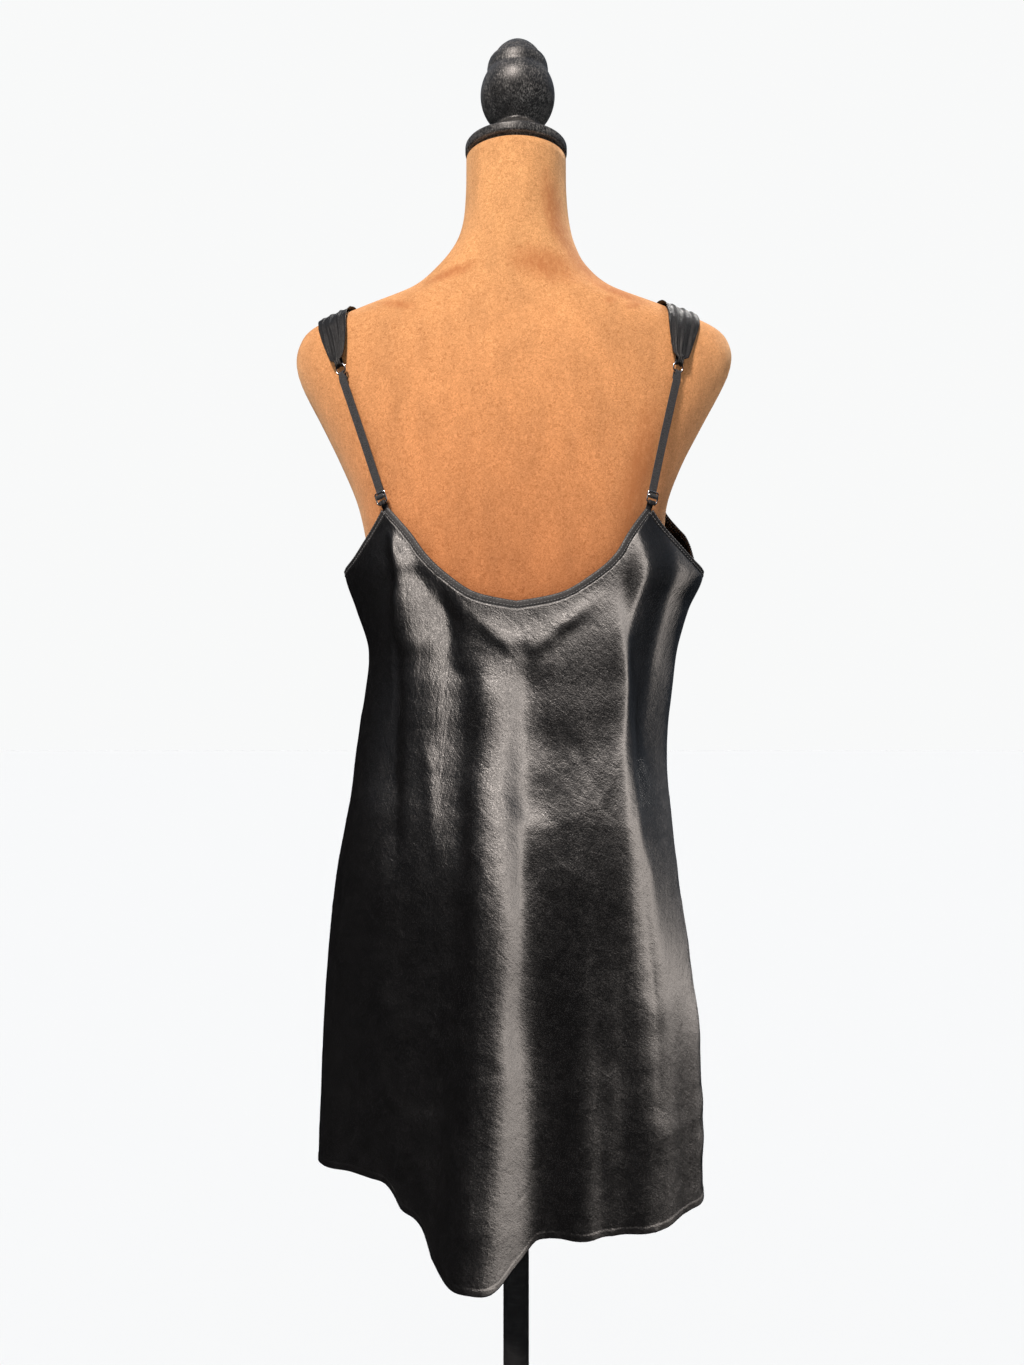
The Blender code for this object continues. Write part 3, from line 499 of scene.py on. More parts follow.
def fold_depth(angle, height):
    """How far the big folds push the cloth out."""
    depth = 0.0
    for fold in FOLDS:
        down = np.clip((fold.start - height) / (fold.start - SMALL_FOLD_HEIGHT), 0.0, 1.0)
        ridge = fold.top_angle + (fold.hem_angle - fold.top_angle) * down
        off = np.abs((angle - ridge + 180) % 360 - 180) / fold.width
        depth = depth + fold.size * down**fold.rise * np.exp(-(off**FOLD_EDGE))
    return depth


def unit(vectors):
    return vectors / np.linalg.norm(vectors, axis=-1, keepdims=True)


def steps_along(lengths):
    """How far along each point lies, from the lengths between them."""
    return np.concatenate([[0.0], np.cumsum(lengths)])


def folded_points(angle, height):
    """Points of the solids' outer face: the sectioned body with its big folds."""
    point, after, before = (body_points(DRESS_SECTIONS, angle + turn, height) for turn in (0.0, 1.0, -1.0))
    along = after - before
    outward = unit(np.stack([along[..., 1], -along[..., 0], np.zeros_like(along[..., 0])], axis=-1))
    return point + outward * fold_depth(angle, height)[..., None]


def cloth_frame(angle, height):
    """Points on the solids' outer face and the directions square to the cloth."""
    angle, height = np.broadcast_arrays(np.asarray(angle, float), np.asarray(height, float))
    point = folded_points(angle, height)
    along = folded_points(angle + 0.5, height) - folded_points(angle - 0.5, height)
    upward = folded_points(angle, height + 0.004) - folded_points(angle, height - 0.004)
    return point, unit(np.cross(along, upward))


def lattice_noise(u, v, seed):
    """Smooth noise of unit size over cells one unit wide."""
    lattice = np.random.default_rng(seed).uniform(-1, 1, (256, 256))
    u0, v0 = np.floor(u), np.floor(v)
    fu, fv = u - u0, v - v0
    fu, fv = (f * f * f * (f * (f * 6 - 15) + 10) for f in (fu, fv))
    i, j = u0.astype(int) % 256, v0.astype(int) % 256
    i1, j1 = (i + 1) % 256, (j + 1) % 256
    low = lattice[i, j] * (1 - fu) + lattice[i1, j] * fu
    high = lattice[i, j1] * (1 - fu) + lattice[i1, j1] * fu
    return low * (1 - fv) + high * fv


def curve_through(points, count):
    """Evenly numbered points along a smooth curve through rows of coordinates."""
    points = np.array(points, float)
    keys = steps_along(np.linalg.norm(np.diff(points, axis=0), axis=1))
    places = np.linspace(0, keys[-1], count)
    return np.stack(
        [smooth(list(zip(keys, points[:, axis])), places) for axis in range(points.shape[1])], axis=-1
    )


def ease(values):
    values = np.clip(values, 0.0, 1.0)
    return values * values * (3 - 2 * values)


def crease_depth(creases, across, height):
    """How far the creases push the cloth out at places across and up it."""
    place = np.stack([across, height], axis=-1)
    depth = np.zeros_like(across)
    for number, crease in enumerate(creases):
        line = curve_through(crease.points, CREASE_STEPS)
        reach = CREASE_REACH * max(crease.left, crease.right)
        low, high = line.min(0) - reach, line.max(0) + reach
        near = ((place > low) & (place < high)).all(-1)
        if not near.any():
            continue
        spots = place[near]
        start, way = line[:-1], np.diff(line, axis=0)
        length = np.linalg.norm(way, axis=1)
        offset = spots[:, None, :] - start[None]
        share = np.clip((offset * way).sum(-1) / length**2, 0.0, 1.0)
        gap = offset - way * share[..., None]
        distance = np.linalg.norm(gap, axis=-1)
        best = distance.argmin(1)
        rows = np.arange(len(spots))
        along = (best + share[rows, best]) / (len(line) - 1)
        side = way[best, 0] * offset[rows, best, 1] - way[best, 1] * offset[rows, best, 0]
        wander = lattice_noise(along * 7 + number * 9.7, np.full_like(along, number * 3.1), 11)
        signed = np.sign(side) * distance[rows, best] + wander * CREASE_WANDER * (crease.left + crease.right)
        width = np.where(signed < 0, crease.left, crease.right)
        strength = ease(along / crease.fade_in) * ease((1 - along) / crease.fade_out)
        uneven = 1 + CREASE_UNEVEN * lattice_noise(along * 9 + 31.0, np.full_like(along, number * 5.3), 12)
        depth[near] += crease.size * strength * uneven * np.exp(-((np.abs(signed) / width) ** CREASE_EDGE))
    return depth


CRUMPLE_SHARP = (0.00042, 0.00032)
CRUMPLE_WAVE = 0.00020
CRUMPLE_LINE = 0.16


def crumple(across, height, front):
    """Small wrinkles that run along and across the grain, deeper in the lower part."""
    shift = 40.0 if front else 0.0
    down = ease((1.12 - height) / 0.5)
    sway = 0.010 * lattice_noise(across * 22 + shift, height * 22, 25)
    tilt = 0.010 * lattice_noise(across * 17, height * 19 + shift, 26)
    slant = (across + height) / 1.414 + sway
    other = (across - height) / 1.414 + tilt
    patch = ease(0.45 + 0.75 * lattice_noise(across * 13 + shift, height * 10, 21))
    pulled = ease(0.40 + 0.75 * lattice_noise(across * 10 + shift, height * 14, 27))
    bias = np.exp(-((lattice_noise(slant * 20 + shift, other * 48, 22) / CRUMPLE_LINE) ** 2))
    cross = np.exp(-((lattice_noise(slant * 52 + shift, other * 22, 23) / CRUMPLE_LINE) ** 2))
    wave = lattice_noise(slant * 34 + shift, other * 60, 28)
    wave = wave + 0.6 * lattice_noise(across * 60, height * 26, 24)
    sharp = bias * patch * CRUMPLE_SHARP[0] + cross * pulled * CRUMPLE_SHARP[1]
    return (sharp + wave * CRUMPLE_WAVE) * (0.45 + 0.55 * down)


GAPE = 0.020
GAPE_ANGLE, GAPE_ROUND = 111.0, 11.0
GAPE_HEIGHT, GAPE_TALL = 1.140, 0.045
SEAM_BLEND = 8


def armhole_gape(turned, height):
    """The front half of the right armhole stands off the body."""
    off = ((turned - GAPE_ANGLE) / GAPE_ROUND) ** 2
    return GAPE * np.exp(-off - ((height - GAPE_HEIGHT) / GAPE_TALL) ** 2)


def cloth_surface(angle, height, out=0.0):
    """Points of the dress's outer face with every crease, moved out square to the cloth."""
    angle, height = np.broadcast_arrays(np.asarray(angle, float), np.asarray(height, float))
    point, normal = cloth_frame(angle, height)
    turned = (angle + 90) % 360 - 90
    across = point[..., 0]
    back = crease_depth(BACK_CREASES, across, height) + crumple(across, height, False)
    front = crease_depth(FRONT_CREASES, across, height) + crumple(across, height, True)
    blend = 2 * SEAM_BLEND
    share = ease((turned + 90 + SEAM_BLEND) / blend) * ease((90 + SEAM_BLEND - turned) / blend)
    share = np.where(turned > 180, ease((turned - 270 + SEAM_BLEND) / blend), share)
    settled = ease((top_edge(angle) - height) / CREASE_MARGIN)
    depth = (back * share + front * (1 - share)) * settled + armhole_gape(turned, height)
    return point + normal * (depth + out)[..., None], normal


def grain_slant(angle, height):
    """How far the floats are turned from the material's own grain, in degrees."""
    turned = (np.asarray(angle, float) + 90) % 360 - 90
    high, middle, low = GRAIN_HEIGHTS
    over = ease((height - middle) / (high - middle))
    under = ease((middle - height) / (middle - low))
    lean = 0.0
    for rows, here in ((BACK_GRAIN, turned <= 90), (FRONT_GRAIN, turned > 90)):
        places = [(row.angle, np.array(row[1:])) for row in rows]
        top, centre, hem = (smooth([(place, leans[level]) for place, leans in places], turned)
                            for level in range(3))
        lean = lean + np.where(here, centre + (top - centre) * over + (hem - centre) * under, 0.0)
    return lean - GRAIN_TURN


# ---------------------------------------------------------------- meshes

def new_object(name, mesh, material):
    mesh.materials.append(material)
    mesh.shade_smooth()
    return add_object(name, mesh)


def grid_object(name, rows, material, uv=None, closed=False, capped=False):
    """A surface through an array of points, rows by columns; closed joins the ends of each row."""
    rows = np.asarray(rows, float)
    count, width = rows.shape[:2]
    index = np.arange(count * width).reshape(count, width)
    after = np.roll(index, -1, axis=1) if closed else index[:, 1:]
    before = index if closed else index[:, :-1]
    quads = np.stack([before[:-1], before[1:], after[1:], after[:-1]], axis=-1).reshape(-1, 4)
    faces = [tuple(int(k) for k in quad) for quad in quads]
    if capped:
        faces.append(tuple(int(k) for k in index[0]))
        faces.append(tuple(int(k) for k in index[-1][::-1]))
    mesh = bpy.data.meshes.new(name)
    mesh.from_pydata([tuple(p) for p in rows.reshape(-1, 3)], [], faces)
    if uv is not None:
        layer = mesh.uv_layers.new(name="UVMap")
        loops = np.zeros(len(mesh.loops), np.int64)
        mesh.loops.foreach_get("vertex_index", loops)
        uv = np.asarray(uv, float).reshape(-1, 2)
        layer.data.foreach_set("uv", uv[loops].reshape(-1).astype(np.float32))
    mesh.update()
    return new_object(name, mesh, material)


def grid_uv(rows):
    """UVs in metres: across each row, and down the middle column."""
    rows = np.asarray(rows, float)
    u = steps_along(np.linalg.norm(np.diff(rows, axis=1), axis=-1).mean(0))
    v = -steps_along(np.linalg.norm(np.diff(rows, axis=0), axis=-1).mean(1))
    return np.stack(np.broadcast_arrays(u[None, :], v[:, None]), axis=-1)


def grain_uv(angles, heights, points):
    """UVs in metres whose level lines lean with the satin's grain."""
    across = np.linalg.norm(np.diff(points, axis=1), axis=-1).mean(0)
    slope = np.tan(np.radians(grain_slant(angles[None, :], heights)))
    lean = (slope[:, 1:] + slope[:, :-1]) / 2 * across
    lean = np.concatenate([np.zeros((len(heights), 1)), np.cumsum(lean, axis=1)], axis=1)
    lean -= lean[:, len(angles) // 2][:, None]
    return np.stack([steps_along(across)[None, :] + np.zeros_like(heights), heights - lean], axis=-1)


def thicken(target, thickness, offset=-1.0):
    shell = target.modifiers.new("thickness", "SOLIDIFY")
    shell.thickness = thickness
    shell.offset = offset
    shell.use_rim = True


def face_out(target):
    """Turns a surface's faces away from the form's axis."""
    mesh = target.data
    away = sum(f.normal.x * f.center.x + f.normal.y * f.center.y for f in mesh.polygons)
    if away < 0:
        mesh.flip_normals()


def spread(stops, counts):
    """Values from stop to stop, evenly spaced between each two."""
    values = [stops[0]]
    for start, end, count in zip(stops, stops[1:], counts):
        values += [start + (end - start) * (k + 1) / count for k in range(count)]
    return np.array(values)


def back_angles():
    return spread((-SIDE_SEAM, -BACK_PEAK, BACK_PEAK, SIDE_SEAM), BACK_COLUMNS)


def front_angles():
    right = (SIDE_SEAM, STRAP_SEAT_OUTER, STRAP_SEAT_INNER)
    return spread(right + tuple(360 - angle for angle in reversed(right)), FRONT_COLUMNS)


def between(angles, low, high):
    return angles[(angles >= low - 0.01) & (angles <= high + 0.01)]


def make_panel(name, angles, material):
    """A panel of the dress as a thin shell, with the ridge of its turned-up hem."""
    top, hem = top_edge(angles), hem_edge(angles)
    length = hem + HEM_ROWS[0] + HEM_MARGIN - top
    heights = [top + length * k / (PANEL_ROWS - 1) for k in range(PANEL_ROWS)]
    heights = np.array(heights + [hem + rise for rise in HEM_ROWS])
    puff = [0.0] * PANEL_ROWS + [HEM_PUFF if rise < HEM_TURN else 0.0 for rise in HEM_ROWS]
    points, _ = cloth_surface(angles[None, :], heights, np.array(puff)[:, None] + np.zeros_like(heights))
    panel = grid_object(name, points, material, grain_uv(angles, heights, points))
    face_out(panel)
    thicken(panel, CLOTH)
    return panel


def edge_frame(angles, heights, middle):
    """Points along an edge of the cloth, with the ways along it, up from it and out of it."""
    point, normal = cloth_surface(angles, heights, middle)
    way = unit(np.gradient(point, axis=0))
    normal = unit(normal - way * (normal * way).sum(-1, keepdims=True))
    up = np.cross(normal, way)
    up *= np.sign(up[:, 2:3])
    return point, way, unit(up), normal


# The outer half of a binding's section, as (out from the cloth's middle, up from its edge) points
BINDING_HALF = (
    (0.00072, -0.0012), (0.00098, -0.0002), (0.00112, 0.0012), (0.00116, 0.0028), (0.00108, 0.0042),
    (0.00082, 0.0052), (0.00034, 0.00575),
)
BINDING_PROFILE = BINDING_HALF + tuple((-out, rise) for out, rise in reversed(BINDING_HALF))
BINDING_STITCHES = (0.0008, 0.0044)
BINDING_PUFF = 0.10
# Stitches: length, gap and radius; and their rings, as (place along, size, lift) rows
STITCH, STITCH_GAP, THREAD_RADIUS = 0.0023, 0.0007, 0.00028
STITCH_RINGS = ((-0.5, 0.35, -0.00012), (-0.25, 1.0, 0.00004), (0.25, 1.0, 0.00004), (0.5, 0.35, -0.00012))
STITCH_SIDES = 6


def make_binding(name, angles, material, thread, past):
    """A folded satin binding over the cloth's edge, running past its ends, with rows of stitches."""
    fine = np.interp(np.linspace(0, len(angles) - 1, len(angles) * 3 - 2), np.arange(len(angles)), angles)
    frames = edge_frame(fine, top_edge(fine), -WALL / 2)
    if past:
        frames = [np.concatenate([values[:1], values, values[-1:]]) for values in frames]
    point, way, up, normal = frames
    if past:
        point[0] -= way[0] * past
        point[-1] += way[-1] * past
    length = steps_along(np.linalg.norm(np.diff(point, axis=0), axis=1))
    puff = 1 + BINDING_PUFF * lattice_noise(length * 190, np.zeros_like(length), 31)
    rows = np.stack(
        [point + normal * (out * puff)[:, None] + up * rise for out, rise in BINDING_PROFILE], axis=1
    )
    girth = steps_along([math.dist(a, b) for a, b in zip(BINDING_PROFILE, BINDING_PROFILE[1:])])
    uv = np.stack(np.broadcast_arrays(length[:, None], girth[None, :]), axis=-1)
    strip = grid_object(name, rows, material, uv, closed=True, capped=True)
    fix_normals(strip)
    stitches = []
    outs, rises = zip(*BINDING_PROFILE[:6])
    for rise in BINDING_STITCHES:
        out = np.interp(rise, rises, outs)
        for side in (1, -1):
            line = point + normal * (side * out * puff)[:, None] + up * rise
            stitches.append((line, normal * side))
    return strip, make_stitches(name + "_stitches", stitches, thread)


def fix_normals(target):
    """Turns all faces of a closed surface outwards."""
    builder = bmesh.new()
    builder.from_mesh(target.data)
    bmesh.ops.recalc_face_normals(builder, faces=builder.faces)
    builder.to_mesh(target.data)
    builder.free()


def along_line(place, keys, points):
    """The point at a place along a line of points."""
    return np.array([np.interp(place, keys, points[:, axis]) for axis in range(3)])


def make_stitches(name, lines, material):
    """Short raised stitches along lines of points, each with the line's outward ways."""
    sides = STITCH_SIDES
    vertices, faces = [], []
    for line, normals in lines:
        keys = steps_along(np.linalg.norm(np.diff(line, axis=0), axis=1))
        for k in range(int(keys[-1] // (STITCH + STITCH_GAP))):
            middle = (k + 0.5) * (STITCH + STITCH_GAP)
            centre = along_line(middle, keys, line)
            way = unit(along_line(middle + 0.001, keys, line) - centre)
            out = along_line(middle, keys, normals)
            out = unit(out - way * out.dot(way))
            side = np.cross(way, out)
            first = len(vertices)
            for share, size, lift in STITCH_RINGS:
                reach = THREAD_RADIUS * size
                for turn in range(sides):
                    angle = math.tau * turn / sides
                    offset = side * math.cos(angle) * reach + out * math.sin(angle) * reach
                    vertices.append(tuple(centre + way * STITCH * share + out * lift + offset))
            for ring in range(len(STITCH_RINGS) - 1):
                for turn in range(sides):
                    a = first + ring * sides + turn
                    b = first + ring * sides + (turn + 1) % sides
                    faces.append((a, b, b + sides, a + sides))
            last = first + (len(STITCH_RINGS) - 1) * sides
            faces.append(tuple(first + turn for turn in reversed(range(sides))))
            faces.append(tuple(last + turn for turn in range(sides)))
    mesh = bpy.data.meshes.new(name)
    mesh.from_pydata(vertices, [], faces)
    made = new_object(name, mesh, material)
    fix_normals(made)
    return made


# ---------------------------------------------------------------- straps and their hardware

def arc(across, height, size, start, end, count):
    """Points round a centre, between two angles in degrees."""
    turns = [math.radians(start + (end - start) * k / count) for k in range(count + 1)]
    return [(across + size * math.cos(turn), height + size * math.sin(turn)) for turn in turns]


def hook(centre, place, radius, start, end, count=14):
    """Points round a wire, between two angles in degrees that start at the outward way."""
    turns = [math.radians(start + (end - start) * k / count) for k in range(count + 1)]
    return [
        centre + place.out * radius * math.cos(turn) + place.up * radius * math.sin(turn)
        for turn in turns
    ]


def ring_lift(across):
    """How far a band that hangs on the ring follows its curve."""
    return RING_RADIUS - math.sqrt(RING_RADIUS**2 - across**2)


def one_point(angle, height, out):
    """A point of the solids' cloth, moved out square to it."""
    point, normal = cloth_frame(angle, height)
    return Vector(point + normal * out)


# How far back a ring's place on the form is looked for, and how much it leans with the form there
RING_GUIDE = -0.085
RING_TILT = 0.3


class StrapPlace:
    """The places and directions of one side's straps, from the back peak to the shoulder ring."""

    def __init__(self, strap, form):
        self.angle = BACK_PEAK * strap.side
        self.peak = float(top_edge(self.angle))
        self.tip = one_point(self.angle, self.peak, -WALL / 2)
        guide = Vector((strap.side * strap.ring_across, RING_GUIDE, strap.ring_height))
        surface, normal, _, _ = form.find_nearest(guide)
        self.ring = surface + normal * RING_CLEARANCE
        self.up = (self.ring - self.tip).normalized()
        self.cloth_out = (one_point(self.angle, self.peak, 0.0) - self.tip).normalized()
        outward = normal * RING_TILT + self.cloth_out
        self.out = (outward - self.up * outward.dot(self.up)).normalized()
        self.across = self.up.cross(self.out).normalized()
        self.slider = self.tip + self.up * SLIDER_RISE

    def set(self, target, centre):
        turn = Matrix((self.across, self.up, self.out)).transposed().to_4x4()
        target.matrix_world = Matrix.Translation(centre) @ turn


def wire_loop(name, points, material):
    """A closed round wire through points in its own plane."""
    curve = bpy.data.curves.new(name, "CURVE")
    curve.dimensions = "3D"
    curve.bevel_depth = WIRE_RADIUS
    curve.bevel_resolution = 6
    spline = curve.splines.new("POLY")
    spline.points.add(len(points) - 1)
    for point, place in zip(spline.points, points):
        point.co = (*place, 0.0, 1.0)
    spline.use_cyclic_u = True
    guide = add_object(name + "_guide", curve)
    bpy.context.view_layer.update()
    seen = guide.evaluated_get(bpy.context.evaluated_depsgraph_get())
    mesh = bpy.data.meshes.new_from_object(seen)
    bpy.data.objects.remove(guide)
    mesh.materials.clear()
    return new_object(name, mesh, material)


def make_ring(strap, place, material):
    ring = wire_loop("strap_ring_" + strap.name, arc(0.0, 0.0, RING_RADIUS, 0, 360, 64)[:-1], material)
    place.set(ring, place.ring)
    return ring


def make_slider(strap, place, material):
    """A rounded frame of wire with a bar across it."""
    wide, tall = SLIDER_WIDTH / 2 - SLIDER_CORNER, SLIDER_HEIGHT / 2 - SLIDER_CORNER
    points = []
    for start, x_way, y_way in ((0, 1, 1), (90, -1, 1), (180, -1, -1), (270, 1, -1)):
        points += arc(x_way * wide, y_way * tall, SLIDER_CORNER, start, start + 90, 8)
    slider = wire_loop("strap_slider_" + strap.name, points, material)
    builder = bmesh.new()
    builder.from_mesh(slider.data)
    turn = Matrix.Translation((0.0, SLIDER_BAR, 0.0)) @ Matrix.Rotation(math.pi / 2, 4, "Y")
    bmesh.ops.create_cone(
        builder, cap_ends=True, segments=20, radius1=WIRE_RADIUS * 0.9, radius2=WIRE_RADIUS * 0.9,
        depth=SLIDER_WIDTH - WIRE_RADIUS, matrix=turn,
    )
    builder.to_mesh(slider.data)
    builder.free()
    slider.data.shade_smooth()
    place.set(slider, place.slider)
    return slider


def band(name, spine, widths, lifts, place, thickness, material, ribs, rib_depth, columns, flats=None):
    """A ribbon along a spine, with ribs that run along it; flats give some rows a way across of their own."""
    shares = np.linspace(-0.5, 0.5, columns + 1)
    up, across = np.array(place.up), np.array(place.across)
    wave = rib_depth * np.cos(math.tau * ribs * shares)
    spine = np.array([tuple(p) for p in spine])
    rows = []
    for k, (centre, width, lift) in enumerate(zip(spine, widths, lifts)):
        way = unit(spine[min(k + 1, len(spine) - 1)] - spine[max(k - 1, 0)])
        side = across if flats is None or flats[k] is None else flats[k]
        face = unit(np.cross(side, way))
        rise = lift * (2 * shares) ** 2
        rows.append(centre + side * (width * shares)[:, None] + up * rise[:, None] + face * wave[:, None])
    made = grid_object(name, np.array(rows), material, grid_uv(rows))
    thicken(made, thickness, 0.0)
    return made


def make_elastic(strap, place, material):
    """An elastic from the slider's bar, where it is folded round, to the ring, where it is bunched."""
    steps, sag, tail = 60, 0.0006, 0.006
    radius = WIRE_RADIUS + HOOK_CLEARANCE + ELASTIC_THICK / 2
    start = hook(place.slider + place.up * SLIDER_BAR, place, radius, 360, 180)
    end = hook(place.ring - place.up * RING_RADIUS, place, radius, 0, 180)
    spine = [start[0] + place.up * 0.0012] + start + [start[-1] + place.up * 0.0040]
    first = spine[-1]
    reach = (end[0] - place.up * tail) - first
    for k in range(1, steps + 1):
        share = k / steps
        spine.append(first + reach * share + place.out * (-sag * math.sin(math.pi * share)))
    widths = [ELASTIC_WIDTH] * len(spine)
    lifts = [0.0] * len(spine)
    bunched = ring_lift(ELASTIC_BUNCHED / 2)
    for share in (0.25, 0.5, 0.75):
        spine.append(spine[-1].lerp(end[0], 0.30))
        widths.append(ELASTIC_WIDTH + (ELASTIC_BUNCHED - ELASTIC_WIDTH) * share)
        lifts.append(bunched * share)
    spine += end + [end[-1] - place.up * tail / 2, end[-1] - place.up * tail]
    widths += [ELASTIC_BUNCHED] * (len(end) + 2)
    lifts += [bunched] * (len(end) + 2)
    return band("strap_elastic_" + strap.name, spine, widths, lifts, place, ELASTIC_THICK * 0.8,
                material, ribs=7, rib_depth=0.00012, columns=42)


def make_back_loop(strap, place, material):
    """A short loop from inside the back's peak round the lower wire of the slider."""
    radius = WIRE_RADIUS + HOOK_CLEARANCE + LOOP_THICK / 2
    inside = -WALL / 2 - BINDING_THICK / 2 - LOOP_THICK / 2 - TAB_GAP
    tab = [
        one_point(place.angle, place.peak - TAB_LENGTH * share, inside) for share in (1.0, 0.66, 0.33, 0.0)
    ]
    wrap = hook(place.slider - place.up * SLIDER_HEIGHT / 2, place, radius, 180, 0)
    spine = tab + [tab[-1].lerp(wrap[0], share) for share in (0.33, 0.66)]
    spine += wrap + [wrap[-1] - place.up * 0.0012, wrap[-1] - place.up * 0.0022]
    flat = (place.across - place.cloth_out * place.across.dot(place.cloth_out)).normalized()
    flats = [np.array(flat)] * len(tab) + [None] * (len(spine) - len(tab))
    return band("strap_loop_" + strap.name, spine, [LOOP_WIDTH] * len(spine), [0.0] * len(spine), place,
                LOOP_THICK, material, ribs=2, rib_depth=0.00010, columns=18, flats=flats)


STRAP_COLUMNS, STRAP_STEPS = 48, 108
STRAP_SHELL = 0.0007
# Where on its way a strap is still sewn to its seat, and where it has left the form for the ring
STRAP_SEWN, STRAP_HELD = 0.30, 0.82
# Waves of pleats: how many lie across, how much of the drift they take, their shift and their size
PLEATS = ((3.0, 1.0, 0.0, 0.00085), (6.7, 1.7, 0.3, 0.00045))
PLEAT_DRIFT = 0.30
PLEAT_CRUSH = 0.00022
# Pleats are deepest before the first of these shares of the way and after the second
PLEAT_SLACK = (0.22, 0.62)
RING_PLEATS, RING_PLEAT_RISE = 3.0, 0.00030


def strap_spine(strap, form, start, end):
    """A strap's middle line, from its seat over the shoulder to the ring, clear of the form."""
    route = [start]
    for across, along, height in (
        (strap.chest_across, 0.085, 1.265),
        ((strap.chest_across + strap.shoulder_across) / 2, 0.050, 1.325),
        (strap.shoulder_across, 0.0, 1.380),
        ((strap.ring_across * 2 + strap.shoulder_across) / 3, -0.055, 1.330),
    ):
        surface, normal, _, _ = form.find_nearest(Vector((across * strap.side, along, height)))
        route.append(surface + normal * STRAP_CLEARANCE)
    route.append(end)
    return [Vector(p) for p in curve_through([tuple(p) for p in route], STRAP_STEPS + 1)]


def make_strap(strap, place, form, material):
    """A gathered strap from its seat on the front, over the shoulder, to its fold round the ring."""
    shares = np.linspace(0.0, 1.0, STRAP_COLUMNS + 1)
    angles = (STRAP_SEAT_OUTER + (STRAP_SEAT_INNER - STRAP_SEAT_OUTER) * shares) * strap.side
    seat, _ = cloth_surface(angles, top_edge(angles) + 0.0005, -WALL / 2)
    under, _ = cloth_surface(angles, top_edge(angles) - 0.0060, -WALL / 2 - 0.0006)
    radius = WIRE_RADIUS + HOOK_CLEARANCE * 1.6 + STRAP_THICK / 2
    fold = hook(place.ring + place.up * RING_RADIUS, place, radius, 0, -180)
    middle = Vector((seat[0] + seat[-1]) / 2)
    spine = strap_spine(strap, form, middle, fold[0] + place.up * 0.004)
    rows = [under, seat]
    for k in range(1, STRAP_STEPS):
        spot = k / STRAP_STEPS
        way = (spine[k + 1] - spine[k - 1]).normalized()
        surface, normal, _, _ = form.find_nearest(spine[k])
        across = way.cross(normal).normalized()
        across *= -math.copysign(1.0, across.x * strap.side)
        width = float(smooth(STRAP_WIDTHS, spot)) * strap.spread
        sewn = max(0.0, 1 - spot / STRAP_SEWN) ** 2
        held = max(0.0, (spot - STRAP_HELD) / (1 - STRAP_HELD)) ** 2
        tight = 0.35 + 0.65 * max(
            1 - spot / PLEAT_SLACK[0], (spot - PLEAT_SLACK[1]) / (1 - PLEAT_SLACK[1]), 0.0
        )
        row = []
        for share, sewn_point in zip(shares, seat):
            free = spine[k] + across * width * (share - 0.5)
            surface, normal, _, _ = form.find_nearest(free)
            drift = PLEAT_DRIFT * float(lattice_noise(np.array(spot * 4.0 + 3.0), np.array(share * 2.0), 41))
            wave = sum(
                math.sin(math.tau * (count * share + sway * drift + shift)) * size
                for count, sway, shift, size in PLEATS
            )
            crush = float(lattice_noise(np.array(spot * 26.0), np.array(share * 9.0), 42)) * PLEAT_CRUSH
            lying = surface + normal * (STRAP_CLEARANCE + wave * tight + crush)
            lifted = Vector(sewn_point) + (spine[k] - middle) + normal * wave * 0.7
            laid = lying.lerp(free + normal * wave * 0.6, held).lerp(lifted, sewn)
            near, normal, _, _ = form.find_nearest(laid)
            height = (laid - near).dot(normal)
            row.append(tuple(laid + normal * max(0.0, STRAP_LEAST - height)))
        rows.append(np.array(row))
    inward = place.across * -math.copysign(1.0, place.across.x * strap.side)
    tail = [fold[-1] + place.up * STRAP_TAIL * share for share in (0.5, 1.0)]
    for point in [fold[0] + place.up * 0.004] + fold + tail:
        row = []
        for share in shares:
            across = STRAP_BUNCHED * (share - 0.5)
            pleat = place.out * RING_PLEAT_RISE * math.sin(math.tau * RING_PLEATS * share)
            row.append(tuple(point + inward * across - place.up * ring_lift(across) + pleat))
        rows.append(np.array(row))
    made = grid_object("strap_satin_" + strap.name, np.array(rows), material, grid_uv(rows))
    thicken(made, STRAP_SHELL, 0.0)
    return made


# ---------------------------------------------------------------- the form and its turned pieces

FORM_COLUMNS = 144


def make_form(material):
    heights = np.concatenate([
        np.linspace(FORM_BOTTOM, 0.7600, 7)[:-1],
        np.linspace(0.7600, 1.3050, 64)[:-1],
        np.linspace(1.3050, 1.4000, 40)[:-1],
        np.linspace(1.4000, NECK_TOP, 20),
    ])[::-1]
    angles = np.arange(FORM_COLUMNS) * 360 / FORM_COLUMNS
    rows = body_points(FORM_SECTIONS, angles[None, :], heights[:, None])
    form = grid_object("form_suede", rows, material, closed=True, capped=True)
    fix_normals(form)
    return form


def lathe(name, profile, material, shift=0.0, steps=96):
    """A turned body from (radius, height) points that run down its outer side."""
    angles = np.arange(steps) * math.tau / steps
    rows = np.array([
        np.stack([r * np.cos(angles) + shift, r * np.sin(angles), np.full(steps, z)], axis=-1)
        for r, z in profile
    ])
    made = grid_object(name, rows, material, closed=True, capped=True)
    fix_normals(made)
    edges = made.modifiers.new("edges", "EDGE_SPLIT")
    edges.split_angle = math.radians(50)
    return made


def make_neck_cap(material):
    rim, under, under_top = 0.0022, 0.0440, 1.5130
    profile = [(0.001, DISC_TOP)]
    profile += arc(DISC_RADIUS - rim, DISC_TOP - rim, rim, 90, 0, 8)
    profile += arc(DISC_RADIUS - rim, under_top + rim, rim, 0, -90, 8)
    profile += [(under, under_top), (under, NECK_TOP + GAP), (0.001, NECK_TOP + GAP)]
    return lathe("neck_cap", profile, material)


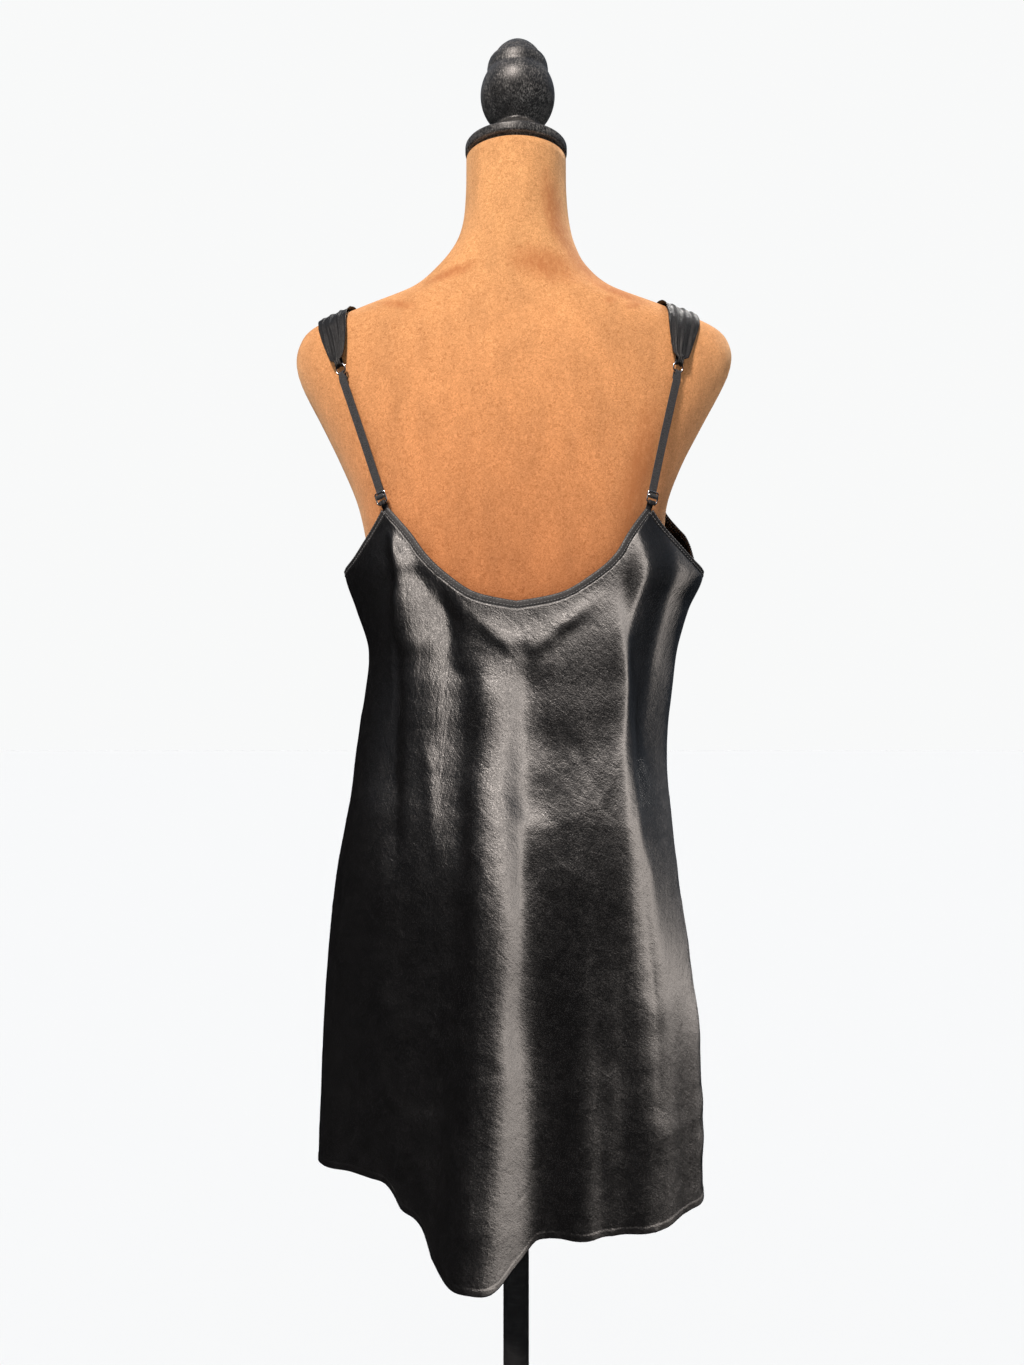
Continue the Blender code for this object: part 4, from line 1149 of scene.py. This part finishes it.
# The knob above and below its ball, as (radius, height) points: the dome, the collar and the foot
KNOB_DOME = (
    (0.0008, 1.6245), (0.0030, 1.6243), (0.0062, 1.6237), (0.0092, 1.6226), (0.0120, 1.6211),
    (0.0147, 1.6192), (0.0171, 1.6171), (0.0190, 1.6152), (0.0206, 1.6132), (0.0220, 1.6110),
    (0.0231, 1.6089), (0.0239, 1.6074),
)
KNOB_COLLAR = (
    (0.0244, 1.6068), (0.0250, 1.6066), (0.0256, 1.6066), (0.0266, 1.6060), (0.0277, 1.6045),
    (0.0286, 1.6024), (0.0292, 1.6002), (0.0296, 1.5976), (0.0297, 1.5958), (0.0297, 1.5940),
)
KNOB_FOOT = (
    (0.0219, 1.5416), (0.0220, 1.5404), (0.0226, 1.5390), (0.0238, 1.5374), (0.0254, 1.5359),
    (0.0271, 1.5346), (0.0283, 1.5336), (0.0289, 1.5326), (0.0290, 1.5316), (0.0287, 1.5305),
    (0.0285, 1.5294), (0.0285, 1.5250), (0.0285, DISC_TOP + GAP), (0.0008, DISC_TOP + GAP),
)


def make_knob(material):
    ball = arc(0.0, BALL_HEIGHT, BALL_RADIUS, 34, -52, 34)
    return lathe("turned_knob", [*KNOB_DOME, *KNOB_COLLAR, *ball, *KNOB_FOOT], material, FINIAL_SHIFT)


def make_stand(material):
    """The round foot with a low boss, and the post with a flange under the form."""
    soft, boss, bevel = 0.005, 0.004, 0.0015
    top = BASE_THICK + boss
    profile = [(0.001, top), (0.030, top), (0.036, BASE_THICK)]
    profile += arc(BASE_RADIUS - soft, BASE_THICK - soft, soft, 90, 0, 10)
    profile += [(BASE_RADIUS, bevel), (BASE_RADIUS - bevel, 0.0), (0.001, 0.0)]
    plate = lathe("stand_foot", profile, material)
    foot, head, flange = top + GAP, FORM_BOTTOM - GAP, 0.036
    profile = [(0.001, head), (flange, head), (flange, head - 0.006), (0.018, head - 0.010)]
    profile += [(POLE_RADIUS, head - 0.030), (POLE_RADIUS, foot + 0.030)]
    profile += [(0.020, foot + 0.008), (0.022, foot), (0.001, foot)]
    return plate, lathe("stand_post", profile, material, steps=48)


# ---------------------------------------------------------------- materials

class Nodes:
    """A short way to write a node tree: n(type, {input: value or socket}, setting=value)."""

    def __init__(self, name):
        self.material = bpy.data.materials.new(name)
        self.material.use_nodes = True
        self.tree = self.material.node_tree
        self.shader = self.tree.nodes["Principled BSDF"]

    def __call__(self, kind, inputs=None, **settings):
        made = self.tree.nodes.new("ShaderNode" + kind)
        for key, value in settings.items():
            setattr(made, key, value)
        self.fill(made, inputs or {})
        return made

    def fill(self, node, inputs):
        for key, value in inputs.items():
            socket = node.inputs[key]
            if isinstance(value, bpy.types.NodeSocket):
                self.tree.links.new(value, socket)
            else:
                socket.default_value = value

    def finish(self, inputs):
        self.fill(self.shader, inputs)
        return self.material

    def where(self, kind):
        return self("TexCoord").outputs[kind]

    def mapped(self, vector, scale, turn=(0.0, 0.0, 0.0), shift=(0.0, 0.0, 0.0), kind="POINT"):
        """A place scaled, turned by degrees and shifted; with TEXTURE it is the pattern that is."""
        turn = tuple(math.radians(angle) for angle in turn)
        inputs = {"Vector": vector, "Location": shift, "Rotation": turn, "Scale": scale}
        return self("Mapping", inputs, vector_type=kind).outputs["Vector"]

    def noise(self, vector, scale, detail, roughness=0.5, distortion=0.0):
        inputs = {"Vector": vector, "Scale": scale, "Detail": detail, "Roughness": roughness}
        return self("TexNoise", {**inputs, "Distortion": distortion}).outputs["Fac"]

    def bump(self, height, strength, distance, below=None):
        inputs = {"Height": height, "Strength": strength, "Distance": distance}
        if below is not None:
            inputs["Normal"] = below
        return self("Bump", inputs).outputs["Normal"]

    def maths(self, kind, first, second):
        return self("Math", {0: first, 1: second}, operation=kind).outputs["Value"]

    def mix(self, first, second, share=1.0, kind="MIX"):
        made = self("Mix", {"Factor": share, 6: first, 7: second}, data_type="RGBA", blend_type=kind)
        return made.outputs[2]

    def times(self, first, second):
        return self.mix(first, second, kind="MULTIPLY")

    def ramp(self, value, stops):
        made = self("ValToRGB", {"Fac": value})
        line = made.color_ramp
        while len(line.elements) < len(stops):
            line.elements.new(0.5)
        for element, (place, colour) in zip(line.elements, stops):
            element.position = place
            element.color = (*colour, 1.0)
        return made.outputs["Color"]

    def grey(self, value, stops):
        return self.ramp(value, [(place, (shade, shade, shade)) for place, shade in stops])


# The satin's fine wrinkles: the way they lean in degrees, their length and width, and a shift
WRINKLES = ((52.0, 0.040, 0.0085, 3.0), (-38.0, 0.034, 0.0080, 11.0), (78.0, 0.060, 0.0100, 23.0))


def satin_material(name, colour, roughness, specular, turn, stretch, creased=1.0):
    """Black satin: turn and stretch shape its gloss along the floats, creased is its share of wrinkles."""
    n = Nodes(name)
    uv, place = n.where("UV"), n.where("Object")
    threads = n.noise(n.mapped(uv, (0.0060, 0.0008, 1.0), (0.0, 0.0, GRAIN_TURN), kind="TEXTURE"), 1.0, 3.0)
    grain = n.noise(place, 760.0, 2.0, 0.7)
    blotch = n.noise(place, 90.0, 4.0, 0.60, 0.8)
    wrinkles = None
    for lean, length, width, shift in WRINKLES:
        way = n.mapped(uv, (length, width, 1.0), (0.0, 0.0, lean), (shift, shift, 0.0), "TEXTURE")
        crinkle = n.noise(way, 1.0, 3.0, 0.50, 0.5)
        sharp = n.grey(crinkle, [(0.36, 0.0), (0.49, 0.55), (0.53, 1.0), (0.66, 0.45)])
        wrinkles = sharp if wrinkles is None else n.mix(wrinkles, sharp, 0.4)
    normal = n.bump(wrinkles, 0.22 * creased, 0.0012)
    normal = n.bump(blotch, 0.35 * creased, 0.0012, normal)
    normal = n.bump(grain, 0.70, 0.00036, normal)
    normal = n.bump(threads, 0.30, 0.00020, normal)
    shade = n.grey(blotch, [(0.35, roughness - 0.05), (0.65, roughness + 0.06)])
    speck = n.grey(grain, [(0.32, 1.30), (0.50, 1.0), (0.68, 0.70)])
    dark, light = ([channel * share for channel in colour] for share in (0.8, 1.35))
    return n.finish({
        "Base Color": n.ramp(blotch, [(0.35, dark), (0.70, light)]),
        "Roughness": n.times(shade, speck),
        "IOR": 1.9,
        "Specular IOR Level": specular,
        "Anisotropic": stretch,
        "Anisotropic Rotation": turn,
        "Tangent": n("Tangent", direction_type="UV_MAP", uv_map="UVMap").outputs["Tangent"],
        "Normal": normal,
    })


# Darker patches behind the neck and shoulders, most where the neck meets the shoulders, and one lower on the
# right of the back
Mark = namedtuple("Mark", "centre size lean")
SUEDE_MARKS = table(
    Mark,
    ((0.060, -0.030, 1.400), (0.020, 0.070, 0.064), -38.0),
    ((0.036, -0.045, 1.445), (0.016, 0.070, 0.050), -12.0),
    ((0.026, -0.040, 1.384), (0.050, 0.070, 0.026), 12.0),
    ((-0.062, -0.060, 1.380), (0.036, 0.070, 0.010), -14.0),
    ((0.095, -0.045, 1.362), (0.040, 0.070, 0.009), 22.0),
    ((-0.108, -0.030, 1.348), (0.027, 0.070, 0.008), 17.0),
    ((0.086, -0.030, 1.351), (0.012, 0.070, 0.007), -18.0),
    ((0.107, -0.030, 1.347), (0.013, 0.070, 0.006), -18.0),
    ((0.110, -0.060, 1.190), (0.020, 0.080, 0.090), 12.0),
)
SUEDE_DARK = (0.400, 0.140, 0.046, 1.0)
# Suede tones by height, darkest from the waist down and lightest from the shoulders up: painted shade below
# and painted light above, as the key light falls
SUEDE_PAINTED_SHADE_TONES = ((0.00, (0.340, 0.120, 0.044)), (0.45, (0.505, 0.216, 0.084)), (1.00, (0.600, 0.300, 0.122)))
SUEDE_SPECKS = ((0.32, (0.74, 0.66, 0.58)), (0.50, (1.00, 1.00, 1.00)), (0.66, (1.22, 1.26, 1.34)))


def suede_material():
    n = Nodes("suede")
    place = n.where("Object")
    patches = n.noise(n.mapped(place, (9.0, 9.0, 5.0), (0.0, 20.0, 15.0)), 1.0, 5.0, 0.55, 0.6)
    strokes = n.noise(n.mapped(place, (60.0, 60.0, 24.0)), 1.0, 4.0)
    broken = n.noise(n.mapped(place, (210.0, 120.0, 90.0), (0.0, -35.0, 0.0)), 1.0, 4.0, 0.6, 0.5)
    pebble = n.noise(place, 420.0, 3.0, 0.65, 1.6)
    nap = n.noise(place, 1500.0, 2.0)
    rise = n("SeparateXYZ", {"Vector": place}).outputs["Z"]
    # painted shade: the suede is darker and redder low on the form and lighter towards the neck
    low = n("MapRange", {"Value": rise, "From Min": 1.02, "From Max": 1.42}).outputs["Result"]
    tone_with_painted_shade = n.ramp(low, SUEDE_PAINTED_SHADE_TONES)
    for layer in (
        n.grey(patches, [(0.28, 0.80), (0.50, 1.0), (0.74, 1.12)]),
        n.grey(strokes, [(0.30, 0.91), (0.62, 1.06)]),
        n.ramp(pebble, SUEDE_SPECKS),
    ):
        tone_with_painted_shade = n.times(tone_with_painted_shade, layer)
    for mark in SUEDE_MARKS:
        spot = n.mapped(place, mark.size, (0.0, mark.lean, 0.0), mark.centre, "TEXTURE")
        patch = n("TexGradient", {"Vector": spot}, gradient_type="SPHERICAL").outputs["Fac"]
        share = n.grey(n.maths("MULTIPLY", patch, broken), [(0.06, 0.0), (0.40, 0.80)])
        tone_with_painted_shade = n.mix(tone_with_painted_shade, SUEDE_DARK, share)
    return n.finish({
        "Base Color": tone_with_painted_shade,
        "Roughness": 0.92,
        "Specular IOR Level": 0.15,
        "Sheen Weight": 0.35,
        "Sheen Roughness": 0.45,
        "Sheen Tint": (1.0, 0.76, 0.50, 1.0),
        "Normal": n.bump(nap, 0.35, 0.0004, n.bump(pebble, 0.60, 0.0010)),
    })


def paint_material(name, colour, wear_and_glint, roughness, scratch_size):
    """Black paint with patches of fine scratches, painted a lighter colour that is partly wear and partly
    painted glints where the scratches catch the light.
    """
    n = Nodes(name)
    place = n.where("Object")
    scratch = n.noise(n.mapped(place, scratch_size), 1.0, 4.0, 0.65)
    cloud = n.noise(place, 60.0, 3.0)
    peel = n.noise(place, 900.0, 2.0)
    # the scratches' lighter colour is partly wear and partly painted glints
    scratch_wear_and_glint = n.grey(scratch, [(0.46, 0.0), (0.66, 1.0)])
    scratch_wear_and_glint = n.times(scratch_wear_and_glint, n.grey(cloud, [(0.32, 0.25), (0.62, 1.0)]))
    return n.finish({
        "Base Color": n.mix((*colour, 1.0), (*wear_and_glint, 1.0), scratch_wear_and_glint),
        "Roughness": n.grey(cloud, [(0.30, roughness - 0.08), (0.70, roughness + 0.10)]),
        "Specular IOR Level": 0.5,
        "Normal": n.bump(n.maths("ADD", scratch, peel), 0.40, 0.00030),
    })


def elastic_material():
    n = Nodes("ribbed_elastic")
    weft = n.noise(n.mapped(n.where("UV"), (300.0, 1500.0, 1.0)), 1.0, 2.0)
    return n.finish({
        "Base Color": n.ramp(weft, [(0.30, (0.009, 0.009, 0.010)), (0.72, (0.056, 0.056, 0.060))]),
        "Roughness": 0.70,
        "Specular IOR Level": 0.30,
        "Sheen Weight": 0.12,
        "Normal": n.bump(weft, 0.5, 0.0003),
    })


def metal_material():
    n = Nodes("silver_wire")
    dull = n.noise(n.where("Object"), 900.0, 3.0)
    return n.finish({
        "Base Color": n.ramp(dull, [(0.30, (0.62, 0.62, 0.64)), (0.70, (0.82, 0.82, 0.84))]),
        "Metallic": 1.0,
        "Roughness": n.grey(dull, [(0.30, 0.14), (0.72, 0.30)]),
    })


def thread_material():
    n = Nodes("sewing_thread")
    fibre = n.noise(n.where("Object"), 2400.0, 2.0)
    return n.finish({
        "Base Color": n.ramp(fibre, [(0.30, (0.090, 0.090, 0.094)), (0.72, (0.230, 0.226, 0.224))]),
        "Roughness": 0.50,
        "Specular IOR Level": 0.5,
    })


# ---------------------------------------------------------------- putting it together

def stand_for(piece, node):
    """Ties a piece to the part and, where it replaces a solid, hides that solid."""
    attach(piece, "root")
    if node:
        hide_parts(node)


def build_form():
    """The form and its stand; returns the painted pieces under the wide sun."""
    # the second colour, for the scratches, is partly wear and partly painted glints
    wood = paint_material("black_wood", (0.015, 0.015, 0.016), (0.240, 0.232, 0.220), 0.34,
                          (900.0, 900.0, 420.0))
    iron = paint_material("black_metal", (0.012, 0.012, 0.013), (0.024, 0.024, 0.025), 0.42,
                          (60.0, 60.0, 300.0))
    form, cap, knob = make_form(suede_material()), make_neck_cap(wood), make_knob(wood)
    foot, post = make_stand(iron)
    stand_for(form, "torso")
    stand_for(cap, "neck_disc")
    stand_for(knob, "finial")
    stand_for(foot, "base")
    stand_for(post, "pole")
    return [cap, knob]


def build_bindings(thread, neck_satin, arm_satin):
    """The bindings with their stitches; returns those that hang with the back and with the front."""
    back, front = back_angles(), front_angles()
    corner = 0.0024
    armhole = np.concatenate([
        between(back, BACK_PEAK, SIDE_SEAM), between(front, SIDE_SEAM, STRAP_SEAT_OUTER)[1:]
    ])
    with_back, with_front = [], []
    for name, node, angles, group, past, cloth in (
        ("neck_trim_back", "back_neck_binding", between(back, -BACK_PEAK, BACK_PEAK), with_back, corner,
         neck_satin),
        ("neck_trim_front", "front_neck_binding", between(front, STRAP_SEAT_INNER, 360 - STRAP_SEAT_INNER),
         with_front, 0.0, neck_satin),
        ("armhole_trim_right", "armhole_binding_right", armhole, with_back, 0.0, arm_satin),
        ("armhole_trim_left", "armhole_binding_left", -armhole, with_back, 0.0, arm_satin),
    ):
        strip, seam = make_binding(name, angles, cloth, thread, past)
        stand_for(strip, node)
        stand_for(seam, None)
        group += [strip, seam]
    return with_back, with_front


def build_straps(neck_satin):
    """The straps and their hardware; returns the straps and the pieces that hang with the back."""
    satin = satin_material("strap_satin", (0.0042, 0.0042, 0.0047), 0.62, 0.20, 0.0, 0.4)
    elastic, metal = elastic_material(), metal_material()
    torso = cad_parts["torso"].data
    tree = BVHTree.FromPolygons([v.co for v in torso.vertices], [tuple(p.vertices) for p in torso.polygons])
    straps, hardware = [], []
    for strap in STRAPS:
        place = StrapPlace(strap, tree)
        ring, slider = make_ring(strap, place, metal), make_slider(strap, place, metal)
        tape, loop = make_elastic(strap, place, elastic), make_back_loop(strap, place, neck_satin)
        satin_strap = make_strap(strap, place, tree, satin)
        stand_for(ring, "upper_ring_" + strap.name)
        stand_for(slider, "slider_" + strap.name)
        stand_for(tape, "elastic_" + strap.name)
        stand_for(loop, "back_loop_" + strap.name)
        stand_for(satin_strap, "strap_" + strap.name)
        hardware += [ring, slider, tape, loop]
        straps.append(satin_strap)
    return straps, hardware


def build_dress():
    """The dress; returns its straps."""
    satin = satin_material("satin", (0.0035, 0.0034, 0.0038), 0.60, 1.0, GRAIN_TURN / 360 + 0.25, 0.96)
    neck_satin = satin_material("neck_satin", (0.0105, 0.0107, 0.0118), 0.62, 0.32, 0.25, 0.3, 0.4)
    arm_satin = satin_material("arm_satin", (0.0050, 0.0050, 0.0056), 0.60, 0.35, 0.25, 0.3, 0.4)
    dress_back = make_panel("dress_back", back_angles(), satin)
    dress_front = make_panel("dress_front", front_angles(), satin)
    stand_for(dress_back, "back_panel")
    stand_for(dress_front, "front_panel")
    with_back, with_front = build_bindings(thread_material(), neck_satin, arm_satin)
    straps, hardware = build_straps(neck_satin)
    with_back += hardware
    return straps


bpy.context.scene.view_settings.view_transform = "Standard"
make_camera()
stage_floor = make_stage()
make_world()
painted_pieces = build_form()
make_lights(stage_floor, painted_pieces, build_dress())
